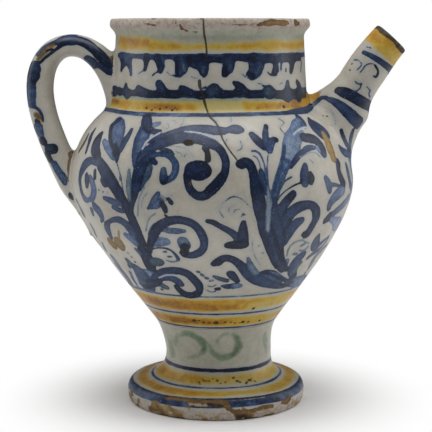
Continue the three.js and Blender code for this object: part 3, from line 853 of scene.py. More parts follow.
# The plant at the right
RIGHT_PLANT = [
    (0.25, 0.3, 0.1, [
        (300, 122, 7), (296, 129, 10), (293, 137, 15), (291.5, 146, 18), (289.5, 155, 17),
        (286, 162, 13), (283, 169, 11), (280, 177, 10), (276.5, 187, 9), (274, 197, 7),
    ]),
    (0.7, 0.5, -0.1, [(297, 115.8, 2), (299.5, 118.5, 4.5), (302, 123, 6), (303.5, 127, 3)]),
    (0.35, 0.3, 0.2, [(298.5, 119, 5), (296, 124, 10), (292.5, 130, 8)]),
    (0.2, 0.25, -0.4, [(302, 132, 5), (299.5, 139, 6), (297, 147, 6)]),
    (-0.3, 0, [(306, 127.2, 1.6), (300.5, 129, 1.8), (296, 132, 1.6), (293.5, 134.8, 1.2)]),
    (0.7, 0.8, 0.6, [(309, 148, 6.5), (304.5, 150.5, 6), (299.5, 155, 6), (295, 161, 5.5), (291, 167, 4)]),
    (0.6, 0.2, [(284.5, 146, 2.5), (284, 154, 3), (282.5, 161, 3.5)]),
    (0.45, 0.55, 0, [(287, 163, 9), (283.5, 170, 9), (280.5, 178, 9), (277.5, 188, 8), (274.5, 199, 7)]),
    (0.95, 0.85, 0.3, [
        (304, 138, 8), (309, 138.3, 8), (314.5, 139.5, 7), (319, 143, 6), (322, 148, 6.5),
        (323.5, 153, 6),
    ]),
    (0.15, -0.2, [(317, 147.5, 3), (319, 151, 3)]),
    (0.55, 0.5, 0.1, [(305, 149, 5), (310, 147.5, 5.5), (314, 147.5, 4)]),
    (0.85, 0.7, 0.1, [
        (309.5, 118.8, 2), (312.5, 123.5, 5), (316.5, 127.5, 9), (321, 130.5, 10.5), (324.5, 131.5, 7),
        (327, 132, 3),
    ]),
    (0.05, -1, [(300, 157, 1.2), (310, 153, 1.2), (316, 153, 1.2), (320, 157, 1.2)]),
    (0.2, -1, [(310, 160, 1.2), (313, 163, 1.2)]),
    (0.1, -1, [(331, 110, 1.2), (335, 118, 1.2), (335, 126, 1.2)]),
    (0.6, 0.75, 0.2, [(305.3, 165.5, 5), (304.8, 171, 8), (304.5, 177, 9.5), (305, 182, 8)]),
    (0.9, -0.5, [(310.5, 173.5, 3.5), (311.5, 178, 6), (311, 182, 5)]),
    (0.9, 0, [(301.5, 181.5, 3.5), (303, 182.5, 4)]),
    (0.45, -0.3, [(304.5, 183.5, 6.5), (306, 184.5, 5)]),
    (0.8, 0.5, -0.1, [
        (300, 183, 2.4), (294.5, 185.3, 2), (289.5, 188.2, 1.8), (285, 191.5, 1.6), (281, 195.5, 1.5),
        (278.5, 199.5, 1.4),
    ]),
    (0.45, 0.35, -0.5, [(291.5, 177, 2.5), (287.5, 179.3, 2.3), (284, 182.5, 2), (281.5, 187, 1.8)]),
    (0.8, 0.6, 0, [(293, 194.5, 7.5), (288, 199.5, 9), (283, 206, 9.5), (279, 213, 9), (277, 221, 8)]),
    (0.9, 0.3, [(293, 194, 6), (290.5, 197, 7)]),
    (0.6, 0.75, 0.1, [
        (301, 220.5, 6.5), (296, 223.5, 9), (291.5, 229, 9), (287.5, 236, 8), (284.5, 243, 6),
    ]),
    (0.7, 0.85, 0.2, [
        (282, 226, 10), (286, 219, 11), (291.5, 212.5, 11), (298.5, 207.5, 10.5), (306, 205, 9.5),
        (312, 205.5, 9), (315.5, 210, 8.5), (316, 217, 7), (313.5, 223.5, 6), (310, 229.5, 6),
        (307, 233.5, 6.5),
    ]),
    (0.9, 0.5, [(303.5, 234, 6.5), (305, 235, 7)]),
    (0.65, 0.6, 0.6, [
        (302, 255.5, 5.5), (297.5, 260, 7), (293.5, 266, 6.5), (291.5, 272.5, 5.5), (292.5, 278, 4),
    ]),
    (0.5, 0.55, -0.5, [(300.5, 263, 2.5), (296.5, 267, 3.5), (294.5, 272, 3.5), (293.5, 277.5, 4)]),
    (0.9, -0.2, [(292, 277.5, 3), (294, 276, 3)]),
    (0.3, -0.1, [(287, 260.5, 4), (286.5, 264.5, 3.5)]),
    (0.65, 0.3, [(318.5, 235.5, 2.5), (316.3, 240, 5), (315.3, 245.5, 6), (316, 248.5, 4)]),
    (0.75, 0.6, -0.1, [(328.5, 236.5, 1.6), (324, 240.5, 2.3), (319.5, 244.5, 2.8)]),
    (0.6, 0.5, 0, [
        (308, 258, 2.4), (312.5, 254, 2.6), (318, 250.3, 2.6), (323.5, 244.5, 2.4), (328, 238.5, 1.6),
    ]),
    (0.5, 0.45, -0.3, [
        (326.5, 245, 2), (320, 251.5, 2.4), (314, 258.5, 3), (310.5, 265, 3), (308.5, 268.5, 2),
    ]),
    (0.4, 0, [(305, 273, 1.8), (303, 278, 2)]),
    (0.15, -1, [
        (287, 256, 1.6), (288, 250, 1.8), (291.5, 245, 1.8), (297, 241.3, 1.8), (303, 240.5, 1.9),
        (309, 243.5, 1.8),
    ]),
    (0.2, -1, [(299.5, 250.5, 1.6), (304, 250.3, 1.6), (308, 247, 1.6)]),
    (0.25, -1, [(301.5, 245.5, 2), (304.5, 244, 2)]),
    (0.3, -1, [(293.5, 254, 2.4), (296.5, 254, 2.4)]),
]

# The leaves that turn away at the right edge
FAR_RIGHT = [
    (0.85, 0.75, 0.3, [
        (341.2, 130.5, 4.3), (342.7, 137, 5.2), (345.3, 144.5, 4.6), (347.8, 151.5, 3), (349, 155.5, 2),
    ]),
    (0.75, 0.5, -0.2, [(353, 130.5, 3.2), (351.3, 137, 3.6), (349.8, 144.5, 2.8), (349.3, 150.5, 1.8)]),
    (0.6, 0.4, 0.3, [(341, 149, 4), (344, 152.3, 4), (348, 155, 2.2)]),
    (0.98, 0.9, 0.5, [(338, 163, 4.3), (338.7, 170, 4), (340.7, 177, 4.6), (343.7, 184, 4.3)]),
    (0.5, 0.4, 0.3, [(346.5, 165.5, 3), (348, 172, 4), (349.8, 181, 4), (351, 190, 3)]),
    (0.25, 0.4, [(350.5, 160, 2.5), (352, 170, 3), (352.5, 182, 2.5)]),
    (0.5, 0.6, -0.1, [(325.8, 178.5, 4.5), (328.5, 184, 6.5), (329.8, 190, 5)]),
    (0.55, 0.7, -0.2, [(330, 185, 6), (335, 184.7, 4.5), (339.5, 185.8, 2.6), (343, 187.5, 1.8)]),
    (0.3, 0.6, 0.3, [
        (343, 191, 4.5), (338.5, 193.5, 7), (334, 197.5, 6.5), (330.8, 202.5, 5.5), (329.3, 207, 4.3),
    ]),
    (0.4, 0.6, 0, [
        (349, 197, 3.6), (344.5, 203, 4), (338.5, 208.8, 3.8), (332.5, 213.8, 3.8), (329, 217, 4.5),
    ]),
    (0.95, -0.3, [(329, 216.5, 4.5), (325.5, 220.3, 4.2)]),
    (0.25, 0.2, 0.6, [(331, 219, 7), (335, 221.5, 8.5), (338, 225.5, 5)]),
]

# The lobes below the upper blue band of the neck
NECK_UPPER = [
    (0.45, -0.3, [(162, 60, 3), (163.5, 66, 3)]),
    (0.6, -0.2, [(121, 57, 6), (125, 59, 10), (129, 59, 8)]),
    (0.85, 0.2, [(122.5, 62, 3), (121.5, 69.5, 2.2)]),
    (0.75, 0.1, [(123.5, 66.5, 2), (126.5, 64.3, 2), (129, 67, 2)]),
    (0.7, 0.6, 0.1, [(129.5, 61, 4), (130.5, 68, 3.5), (131, 74, 3)]),
    (0.9, 0.2, [(146.5, 58, 6), (146, 64, 5), (145.5, 69.5, 2.6)]),
    (0.85, 0.8, 0, [(157, 58, 6), (159, 63, 7), (160.5, 68, 6), (161, 71.5, 4)]),
    (0.6, 0, [(167, 72, 1.3), (170, 75, 1.3), (174, 75.6, 1.3), (178, 75.6, 1.6)]),
    (0.8, 0.7, -0.1, [(176, 59, 5), (181, 61, 11), (182, 67, 12), (180, 73, 8)]),
    (0.95, 0.2, [(177, 62, 3), (176.8, 69, 3), (177.5, 75, 3)]),
    (0.45, -0.6, [(183, 64, 4), (184.5, 70, 4)]),
    (0.98, 0.3, [(191, 61, 7), (194, 65, 8), (199, 66, 6)]),
    (0.4, -0.5, [(191, 76, 1.2), (194, 78, 1.3), (198, 78.3, 1.2)]),
    (0.85, 0.8, -0.1, [(202, 60, 12), (203, 67, 12), (204, 72, 9), (204, 75.5, 5)]),
    (0.55, -0.6, [(204, 68, 4), (203, 72, 4)]),
    (0.9, 0.1, [(188, 58, 5), (200, 59, 6), (212, 59.5, 6), (222, 60, 5.5)]),
    (0.85, 0.8, 0.2, [(222, 60, 6), (232, 58, 5.5), (240, 58, 5.5), (245.5, 59.5, 5)]),
    (0.8, 0.9, 0.1, [(229, 61, 12), (229, 66, 11), (226.5, 71, 8), (224.5, 74.5, 5)]),
    (0.98, 0, [(225, 69, 5), (225, 74, 5)]),
    (0.5, -0.3, [(231, 65, 3), (231, 71, 2.5)]),
    (0.3, -0.4, [(242, 73.5, 1.4), (245, 77, 1.4)]),
    (0.85, 0.7, -0.1, [(254, 58, 9), (254, 65, 11), (255, 71, 12), (252, 75.5, 9)]),
    (0.65, 0.6, -0.2, [(261, 60, 8), (260, 66, 9), (257, 72, 9)]),
    (0.98, 0.3, [(249, 73.5, 5), (253, 76, 5)]),
    (0.95, 0.4, [(249, 58.5, 4.5), (254, 60, 6)]),
    (0.45, -0.5, [(260, 66, 3), (258, 71, 3)]),
    (0.8, 0.1, [(258, 58, 6), (266, 59.5, 7), (274, 60, 7)]),
    (0.85, 0.95, 0.3, [(277, 61, 7), (276, 67, 6), (275, 72, 6.5)]),
    (-0.1, -0.2, [(279.3, 64, 1.8), (280, 70, 1.6)]),
    (0.7, -0.3, [(281.5, 63, 1.6), (281, 69, 1.4)]),
    (0.7, -0.6, [(268, 72, 1.4), (270, 74.8, 1.5), (272, 75, 1.2)]),
    (0.85, 0.1, [(280, 58, 7), (287, 58.5, 8), (294, 58, 8), (300, 57.5, 7)]),
    (0.95, 0.3, [(292, 60, 6), (291.8, 66, 4.6), (291, 71, 3.6)]),
    (0.8, -0.7, [(286, 69, 1.8), (286, 71, 1.8)]),
    (0.4, -0.8, [(301.5, 63, 1.5), (301, 71, 1.3)]),
    (0.75, 0.6, -0.2, [(152.5, 75.5, 2), (155, 73.3, 1.8), (158.5, 71.5, 1.3)]),
    (0.25, -0.4, [(138, 74, 1.3), (141, 72.3, 1.4), (143.5, 70, 1.2)]),
]

# The lobes above the lower blue band of the neck
NECK_LOWER = [
    (0.9, 0.1, [(111, 91, 5), (114, 91.5, 6.5), (118, 90.5, 5.5), (120.5, 92, 4)]),
    (0.85, 0.8, -0.3, [(126, 85.5, 3), (126, 89.5, 4.5), (127, 94, 6)]),
    (0.75, 0.8, -0.2, [(138.5, 89, 8), (143, 91.5, 8), (149, 94, 7)]),
    (0.95, -0.1, [(149, 94.5, 5), (158, 95, 5)]),
    (0.7, 0.85, -0.1, [(159, 84, 8), (161.5, 88, 9), (165, 92, 8)]),
    (0.95, -0.1, [(169, 94.5, 7), (176, 94.5, 7.5)]),
    (0.85, -0.1, [(181, 87.5, 5), (184, 90, 9), (190, 92.5, 8)]),
    (0.98, -0.1, [(197, 94.5, 6), (201, 95.5, 8.5), (205, 94.5, 6)]),
    (0.7, 0.8, -0.4, [(211, 92, 10), (214, 88.5, 11), (218, 92, 10)]),
    (0.9, 0.2, [(223, 94, 6.5), (232, 94.5, 6)]),
    (0.9, 0.8, 0.2, [(234, 82.5, 4), (237.5, 84.5, 7), (242, 87.5, 7.5), (247, 92.5, 6.5)]),
    (0.95, -0.2, [(236, 93, 6.5), (239, 93, 6.5)]),
    (0.9, -0.2, [(250, 95, 6), (262, 94.5, 7)]),
    (0.65, 0.75, -0.6, [(269, 91.5, 12), (270, 92.5, 12)]),
    (0.9, 0.2, [(277, 96, 6), (284, 96.5, 6.5)]),
    (0.75, 0.9, -0.4, [(287.5, 83, 4), (287.5, 89, 6), (288, 95, 9)]),
    (0.85, 0.95, -0.3, [(297, 82, 2.6), (299.3, 87, 4), (299, 95, 6)]),
    (0.9, 0.2, [(292, 96.5, 6), (306, 95.5, 5)]),
    (0.6, -0.8, [(257.5, 83.3, 1.2), (261, 84, 1.3), (264, 86, 1.2)]),
    (0.6, -0.5, [(280, 84, 1.3), (282.5, 82.8, 1.3)]),
    (0.7, -0.4, [(203, 88, 1.3), (205.5, 87, 1.3)]),
]

# The line that climbs over the root of the spout
SPOUT_BORDER = [
    (0.65, 0.6, 0.2, [
        (284, 113, 2.5), (292, 111.8, 3.5), (300, 111, 4), (306, 110, 4.2), (312, 106.6, 4.2),
        (317, 101.5, 4.2), (321, 98, 4), (326, 97, 3.5),
    ]),
]

# The stripes and squiggles of the spout
SPOUT_STROKES = [
    (0.65, 0.75, -0.1, [
        (326, 98.5, 3.5), (331, 100, 6.5), (336, 102.5, 8.5), (342, 107, 10.5), (348, 112.5, 12),
        (353.5, 118, 12.5), (358, 122.5, 11),
    ]),
    (0.98, 0.9, -0.1, [
        (338.5, 90.5, 8.5), (344, 92.5, 11.5), (351, 95.5, 12), (358, 99.5, 12), (366, 104, 11.5),
        (373, 107.5, 9.5),
    ]),
    (0.55, 0.9, 0.2, [
        (363.5, 52.3, 4.5), (370, 55.2, 5.5), (377, 59.3, 6.2), (384, 64, 6.8), (389, 68, 7),
        (393, 71.5, 7),
    ]),
    (0.5, 0, [
        (354, 60, 1.4), (357.5, 60, 1.5), (360.5, 62, 1.6), (361.5, 65, 1.6), (359, 68, 1.5),
        (357, 70, 1.3),
    ]),
    (0.5, 0, [(373, 64, 1.4), (369, 63.8, 1.6), (365, 66, 1.6), (363, 69, 1.5), (360, 72.5, 1.4)]),
    (0.85, 0.9, 0.1, [(375, 65.5, 2.8), (377.3, 69, 2.6), (378, 73, 2.6), (376, 77, 3), (373.5, 76, 2.4)]),
    (0.6, 0, [(355, 81.5, 1.8), (358, 83.8, 2), (361.3, 84, 2)]),
    (0.5, 0.45, 0, [(361, 84.5, 1.8), (360, 88, 1.8), (357, 90.8, 1.8), (352.5, 91, 1.5)]),
    (0.5, -0.2, [(367, 87, 1.8), (370, 90.5, 2), (369, 93.5, 1.6), (370, 97, 1.6)]),
    (0.7, 0, [(367, 47, 1.4), (371, 48, 1.6)]),
]

# The stripe and dashes along the handle
HANDLE_STROKES = [
    (0.98, 0.95, 0.2, [
        (113, 69, 9), (108, 64, 10), (101, 56, 10), (94, 49.5, 9), (87, 44, 8), (80, 41, 7),
    ]),
    (0.8, 0.75, 0, [(80, 41, 6), (72, 39.5, 8), (64, 40, 7), (57, 42, 5)]),
    (0.75, 0.8, 0, [(88, 60, 5), (93, 64, 6), (100, 66, 6), (105, 70, 5), (112, 72, 4)]),
    (0.8, 0.95, 0.1, [(66, 42.5, 6), (59, 47, 4), (52, 52.5, 3.4), (46, 57, 3.4), (41, 62, 3.4)]),
    (0.7, 0, [(61, 40, 2.6), (52, 42.5, 2), (44, 47.5, 2), (37.5, 54.5, 2)]),
    (0.9, 0, [(46, 51, 2), (49, 50, 2), (52, 49, 2)]),
    (0.9, 0, [(33, 63, 2), (36.5, 62.5, 2), (40, 62, 2)]),
    (0.8, 0.98, -0.2, [(35, 66, 8), (33, 73, 10), (32, 80, 8)]),
    (0.65, 0.6, 0, [(30, 86, 7), (30.5, 95, 7), (31, 103, 6)]),
    (0.6, -0.1, [(32, 106, 4), (38, 109, 3.5), (42, 115, 3), (43, 121, 2.5)]),
    (0.95, 0, [(36, 121, 4), (38, 122, 4)]),
    (0.5, 0, [(38, 128, 7), (40, 133, 6), (42, 138, 4)]),
    (0.98, 0, [(42.5, 141, 6), (43.5, 142, 6)]),
    (0.75, 0.98, -0.4, [(49, 149, 10), (53, 149, 11)]),
    (0.98, -0.3, [(47, 154, 4), (50, 160, 4)]),
    (0.5, 0, [(54, 164, 6), (58, 171, 7), (63, 178, 8), (65, 183, 5)]),
    (0.95, -0.8, [(72.5, 195.5, 5), (73.5, 195.8, 5)]),
    (0.9, 0, [(77, 201, 2)]),
    (0.85, 0.5, [(80, 206, 3), (83, 213, 4)]),
]

# Ochre on the root of the spout
SPOUT_OCHRE = [
    (0.5, 0.45, 0, [(294, 104.5, 9), (301, 103, 11), (307, 99.5, 10.5), (313, 95.5, 7.5), (318, 93.2, 3)]),
]

# Ochre dabs on the handle
HANDLE_OCHRE = [
    (1, 0.95, 0, [(56, 43.8, 3.6), (50, 47, 5.4), (44, 52, 5.6), (38.5, 59, 4.4)]),
    (0.98, 0.95, 0, [(36, 115, 6), (39, 117, 7), (41.5, 120, 5)]),
    (0.3, 0, [(39.5, 122, 4), (40.5, 122, 4)]),
]

# Browner and paler places in the ochre bands
BAND_TINTS = [
    (0.9, 0.8, 0, [(113.5, 99.5, 3), (116, 100.5, 4.5), (119, 101.5, 3)]),
    (0.75, 0.7, 0, [(370, 35, 5), (375, 38.5, 6), (378, 41, 4)]),
    (0.7, 0.6, 0, [(121, 35, 6), (133, 39, 8), (146, 42, 5)]),
    (0.8, 0, [(146, 107, 5), (158, 106.5, 6), (170, 107.5, 5.5), (178, 108.5, 4)]),
    (0.7, 0.75, 0, [(258, 107, 4), (272, 106, 5.5), (286, 105, 5.5), (298, 104, 6)]),
    (0.08, 0, [(200, 107.5, 6), (215, 107.5, 8), (240, 107.3, 7)]),
    (0.68, 0, [(150, 302, 4), (175, 306, 7), (205, 309, 7.5), (235, 308, 5)]),
    (0.2, 0, [(252, 306, 6), (270, 303, 7), (290, 298, 5)]),
    (0.7, 0, [(172, 319, 4), (195, 322, 5), (222, 323, 4)]),
    (0.25, 0, [(242, 321, 5), (260, 318, 5), (275, 314, 4)]),
]

# Olive dabs and dark spots on the body
OLIVE_DABS = [
    (0.3, 0.35, 0, [(111, 242.5, 5), (113, 244.5, 5)]),
    (0.25, 0.35, 0, [(117.5, 241, 5), (119.5, 244, 7), (121, 247, 5)]),
    (0.05, 0, [(119, 231, 2.2), (119, 238, 2.2)]),
    (0.75, 0, [(190, 182.5, 3), (190.2, 184.5, 3)]),
    (0.9, 0, [(183.8, 248.5, 3), (184, 250.5, 3)]),
]

# Green swirls on the stem of the foot
GREEN_SWIRLS = [
    (0.1, 0.45, 0, [(175, 343, 4), (178, 336.5, 5), (185, 333.5, 5), (193, 335.5, 6)]),
    (0.5, 0.98, 0, [(195, 336.5, 6), (200.5, 340.5, 8), (204.5, 346, 7.5), (202.5, 352, 5)]),
    (0.15, 0.25, 0, [(188, 357.5, 3), (195, 356.5, 4), (202, 353, 4)]),
    (0.25, 0.45, 0, [(208.5, 345, 4), (213, 352.5, 5), (221, 357, 6.5), (231, 356, 6.5)]),
    (0.45, 0.95, 0, [(232.5, 334.5, 4), (237.5, 340, 6.5), (238.5, 347, 7.5), (234.5, 353.5, 6)]),
    (0.15, 0, [(217, 342, 3), (221.5, 336, 3.5), (228, 334, 3)]),
    (0.2, 0, [(170, 343, 4), (172, 352, 5)]),
    (0.2, 0, [(265, 336, 3.5), (266, 350, 3)]),
]

# Places where the glaze is lost. The tone goes from white to dark brown clay.
CHIPS = [
    (0.6, 0, [
        (166, 398, 3), (175, 398.5, 4), (186, 400, 4), (196, 401, 3.5), (207, 402, 4), (218, 401.5, 5),
        (226, 403, 6),
    ]),
    (0.6, 0, [(226, 406, 5), (233, 411, 5), (242, 412, 6), (252, 411, 4), (262, 408, 4), (272, 406, 4)]),
    (0.6, 0, [(282, 403, 3), (287, 401, 5), (290, 398, 3)]),
    (0.6, 0, [(150, 408, 3), (158, 412, 3), (166, 416, 2)]),
    (0.1, 0, [(190, 404, 2.4), (199, 405, 3), (207, 405.5, 2)]),
    (0.9, 0, [(208, 404, 2.4), (215, 405.5, 3.4), (222, 406, 2.4)]),
    (0.6, 0.55, 0, [
        (257, 25, 2), (262, 24, 4), (270, 22.5, 6.5), (278, 22.5, 6), (284, 23, 6), (288, 22.5, 4),
    ]),
    (0.7, 0, [(296, 21.5, 3), (297, 23.5, 5), (299, 23, 3)]),
    (0.6, 0, [(232, 25, 1.2), (240, 25, 1.5), (247, 25, 1.2)]),
    (0.6, 0, [(251.5, 24, 2), (252.5, 24, 2)]),
    (0.6, 0, [(152, 18.5, 2), (155, 18.3, 2)]),
    (0.6, 0, [(145, 24, 1.4), (150, 24.3, 1.4), (155, 25.4, 1.6)]),
    (0.6, 0, [(175.5, 18.5, 1.5), (175.7, 23, 1.5)]),
    (0.6, 0, [(180, 25, 2), (182, 29, 2.4)]),
    (0.6, 0, [(185, 30, 1.6), (187, 31.3, 1.6)]),
    (0.6, 0, [(192, 32, 1), (197, 32.2, 1.2)]),
    (0.6, 0, [(201, 18.5, 2), (203, 18.7, 2.4)]),
    (0.42, 0, [(324, 134, 3.5), (328, 142, 5.5), (331, 150.5, 6), (333.5, 157.5, 5)]),
]

# Brown stains in the glaze
STAINS = [
    (0.95, 0, [(186.7, 142.5, 5), (190, 142.3, 5)]),
    (0.95, 0, [(208.3, 154, 4.2), (208.4, 159, 4.6)]),
    (0.8, 0, [(88, 135, 2), (84, 143, 3), (79, 151, 2)]),
    (0.8, 0, [(162, 289.5, 2)]),
    (0.8, 0, [(327, 116.5, 2)]),
    (0.7, 0, [(352, 64, 1.8)]),
    (0.7, 0, [(350, 70, 1.8)]),
]

# Brown streaks on the handle
HANDLE_STAINS = [
    (0.6, 0, [(73, 152, 2), (70.5, 163, 3), (70, 174, 2.5), (74, 186, 1.5)]),
    (0.6, 0, [(76, 150, 1.5), (75, 170, 1.2)]),
    (0.7, 0, [(113, 58, 3)]),
]

# The hairline from the rim down to the shoulder
CRACKS = [
    (1, 0, [
        (203, 17, 1.5), (203.5, 25, 1.5), (204, 33, 1.6), (205.5, 41, 1.5), (206.5, 50, 1.5),
        (206.5, 56, 1.4),
    ]),
    (1, 0, [(199.5, 81, 3), (199.8, 86, 3), (201, 90, 1.8)]),
    (1, 0, [
        (202, 93, 1.5), (204, 100, 2.2), (205, 104, 2), (207, 110, 1.5), (210, 117, 1.5),
        (215, 122, 1.5), (219, 128, 1.4), (221, 134, 1.4), (223, 140, 1.4), (228, 148, 1.3),
        (233, 155, 1.3), (237, 160, 1.2),
    ]),
]

# Pits in the glaze: the place and the width
PITS = [
    (194.3, 320.8, 1.5), (198.9, 320.8, 1.3), (203.5, 322.5, 1.6), (209.2, 323, 1.4),
    (225.3, 322.5, 1.6), (231, 322.5, 1.3), (248.3, 321.9, 1.3), (259.7, 320.8, 1.4),
    (198.9, 382.2, 1.6), (203.5, 380.5, 1.8), (209.2, 381, 1.6), (212.7, 378.7, 1.3), (217.3, 381, 1.6),
    (220.7, 383.3, 1.4), (225.3, 382.2, 1.6), (233.9, 377.6, 1.8), (236.8, 381, 2), (240.2, 382.2, 1.8),
    (246, 383.3, 1.6), (250.5, 379.9, 2.2), (255.1, 381, 1.3), (151.5, 110, 2), (155, 107.5, 1.6),
    (160, 109, 2.2), (175, 107.8, 1.8), (284, 106.8, 2.4), (146.5, 108, 2.2), (166.5, 107.3, 2),
    (172, 110, 2.2), (177, 109.7, 1.4), (139.5, 108, 1), (283.5, 106.5, 2), (216, 323, 3.2),
    (194, 320.5, 2), (243, 322, 2.2), (240, 323, 1), (253.5, 308.5, 2), (235, 323, 1.3), (206, 381, 1.5),
    (202, 379, 1), (217, 380, 1.5), (233, 378, 1.2), (238, 381, 1.6), (247, 382, 1.6), (249, 380, 2),
    (252, 378, 1), (200, 384, 1),
]


# The blue strokes in the order in which they are laid
BLUE_STROKES = (
    LEFT_PLANT + LEFT_BASE + BIG_STEM + FLOWER_LEFT + ARROW_FLOWER + THIRD_ARCH + SECOND_ARCH + MIDDLE_ARCH
    + RIGHT_PLANT + FAR_RIGHT + CENTRE_STEM + LOWER_SCROLL + SPOUT_BORDER + SPOUT_STROKES
)

# Painted rings round the axis: height, half the width, tone and hue
BLUE_RINGS = [
    (207.4, 1.5, 0.74, 0.1),
    (186.8, 1.9, 0.88, 0.0),
    (175.8, 1.7, 0.6, -0.1),
    (72.5, 0.75, 0.5, -0.8),
    (60.5, 0.75, 0.66, -0.1),
    (51.0, 0.75, 0.66, -0.1),
    (24.6, 1.15, 0.95, 0.0),
    (15.9, 0.75, 0.62, -0.2),
    (9.8, 2.1, 0.66, 0.1),
    (12.3, 0.9, 0.92, 0.0),
]

# Ochre zones round the axis: lower height, upper height, how brown and how crisp
OCHRE_ZONES = [
    (210.1, 218.6, 0.4, 0.6),
    (177.0, 183.1, 0.4, 0.9),
    (62.3, 70.8, 0.5, 0.8),
    (52.0, 58.8, 0.5, 0.8),
    (16.9, 22.5, 0.4, 0.8),
    (13.2, 14.9, 0.45, 0.9),
]

# Greenish tints round the axis: lower height, upper height and the most depth
GREEN_TINTS = [(213, 221.6, -0.1), (182.2, 186.2, 1), (29, 47.5, -0.7)]
GREEN_TINT_TONE = 0.08

# Where rings and zones stop: above the first height beside the handle, and near the second beside the spout
UPPER_NECK = 200
HANDLE_CLEAR = math.radians(20)
SHOULDER = 172
SHOULDER_REACH = 10
SPOUT_CLEAR = math.radians(27)

# How far the ochre under the rim dips towards the middle of the near side
NECK_DIP = 3.4

# The ochre and the near-black band at the spout's mouth, measured down from it. The band is partly a dark
# worn edge and partly painted shade inside the mouth
MOUTH_OCHRE = 12
MOUTH_OCHRE_START = 2.2
MOUTH_DARK = 3.1

# The worn rim, and the worn and flaking ring at the bottom
RIM_WEAR = (221.2, 223.6)
FOOT_WEAR = (4.0, 7.5)
FLAKING_TOP = 10.5
PIT_TONE = 0.9

# The camera looks at the jar from its near side, a little from above. Its place is in metres.
CAMERA_PLACE = (0, -0.790, 0.2237)
CAMERA_DOWN = 8.1
FOCAL_PIXELS = 1330
PHOTO_SIZE = 432
DOWN = math.radians(CAMERA_DOWN)
FORWARD = Vector((0, math.cos(DOWN), -math.sin(DOWN)))
UPWARD = Vector((0, math.sin(DOWN), math.cos(DOWN)))
EYE = Vector(CAMERA_PLACE) / MM

# In pixels: half a dot's length, the least way between two places, and the steps towards the outline
DOT_REACH = 0.3
PLACE_GAP = 0.9
SEARCH_STEP = 0.8

# How much wider a mark may get where the clay turns away, and the longest jump within one, squared
WIDEST = 2.6
LONGEST_JUMP = 60

# Strokes that reach this far out lie on the spout, and are settled on its fillet from this far off
SPOUT_SIDE = 45
SPOUT_BAND = 25

# How far outside a mark its depth is kept, and how widely paint fills the corner where two marks meet
DEPTH_REACH = 3
PAINT_WEB = 0.9
NECK_WEB = 2.4

# The far side's ornament is the near side's, mirrored and turned by this much
FAR_SIDE_TURN = math.radians(9)


# The brush strokes, laid from the camera's view onto the clay


def clay_tree():
    places = []
    faces = []
    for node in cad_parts.values():
        first = len(places)
        places += [vertex.co / MM for vertex in node.data.vertices]
        faces += [[first + i for i in face.vertices] for face in node.data.polygons]
    return BVHTree.FromPolygons(places, faces)


CLAY = clay_tree()


def cast(u, v):
    """The clay seen at a pixel, or nothing."""
    half = PHOTO_SIZE / 2
    ray = FORWARD + Vector((1, 0, 0)) * ((u - half) / FOCAL_PIXELS) + UPWARD * ((half - v) / FOCAL_PIXELS)
    return CLAY.ray_cast(EYE, ray.normalized())[0]


def cast_near(u, v):
    """The clay seen at a pixel, or just inside the outline next to it."""
    inward = 1 if u < PHOTO_SIZE / 2 else -1
    for step in range(8):
        for across_x, across_y in ((inward, 0), (0, 1), (0, -1)):
            spot = cast(u + across_x * step * SEARCH_STEP, v + across_y * step * SEARCH_STEP)
            if spot is not None:
                return spot
    return None


def landed(places):
    """The places of a stroke on the clay: x, y, z and half the width."""
    if len(places) == 1:
        u, v, width = places[0]
        places = [(u - DOT_REACH, v, width), (u + DOT_REACH, v, width)]
    line = smooth_line(places, 8)
    keep = [0]
    for i in range(1, len(line)):
        if np.hypot(*(line[i, :2] - line[keep[-1], :2])) > PLACE_GAP or i == len(line) - 1:
            keep.append(i)
    line = line[keep]
    heading = np.gradient(line[:, :2], axis=0)
    heading /= np.maximum(np.hypot(heading[:, 0], heading[:, 1]), 1e-6)[:, None]
    rows = []
    for (u, v, width), (hu, hv) in zip(line, heading):
        middle = cast_near(u, v)
        if middle is None:
            continue
        plain = width / 2 * (middle - EYE).length / FOCAL_PIXELS
        reach = []
        for side in (-0.5, 0.5):
            edge = cast(u - hv * width * side, v + hu * width * side)
            if edge is not None:
                reach.append(min((edge - middle).length, plain * WIDEST))
        rows.append((*middle, sum(reach) / len(reach) if reach else plain))
    rows = np.array(rows)
    if len(rows) and (rows[:, 0] > SPOUT_SIDE).any():
        rows[:, :3] = settle_on_fillet(rows[:, :3], wall_distance, spout_distance, SPOUT_FILLET, SPOUT_BAND)
    return rows


def into_stroke(spots, line):
    """How deep spots lie inside a stroke, and how far along it they are, from 0 to 1."""
    start = line[:-1, :3]
    run = line[1:, :3] - start
    length = np.maximum((run ** 2).sum(1), 1e-9)
    away = spots[:, None, :] - start[None, :, :]
    t = np.clip((away * run).sum(2) / length, 0, 1)
    gap = away - t[:, :, None] * run
    half = line[:-1, 3] + t * (line[1:, 3] - line[:-1, 3])
    depth = half - np.sqrt((gap ** 2).sum(2))
    depth[:, length > LONGEST_JUMP] = NEVER
    best = np.argmax(depth, axis=1)
    rows = np.arange(len(spots))
    return depth[rows, best], (best + t[rows, best]) / len(start)


def new_layer(count):
    layer = {key: np.zeros(count) for key in ("cover", "tone", "hue")}
    layer["depth"] = np.full(count, NEVER)
    return layer


def lay_on(layer, spots, depth, tone, hue, web=PAINT_WEB):
    """Paints over what is there already, as a later brush mark does."""
    cover = smoothstep(depth, -0.45, 0.25)
    before = layer["cover"][spots]
    total = cover + before * (1 - cover)
    share = cover / np.maximum(total, 1e-6)
    layer["tone"][spots] = mix(layer["tone"][spots], tone, share)
    layer["hue"][spots] = mix(layer["hue"][spots], hue, share)
    layer["cover"][spots] = total
    layer["depth"][spots] = -blended(-layer["depth"][spots], -depth, web)


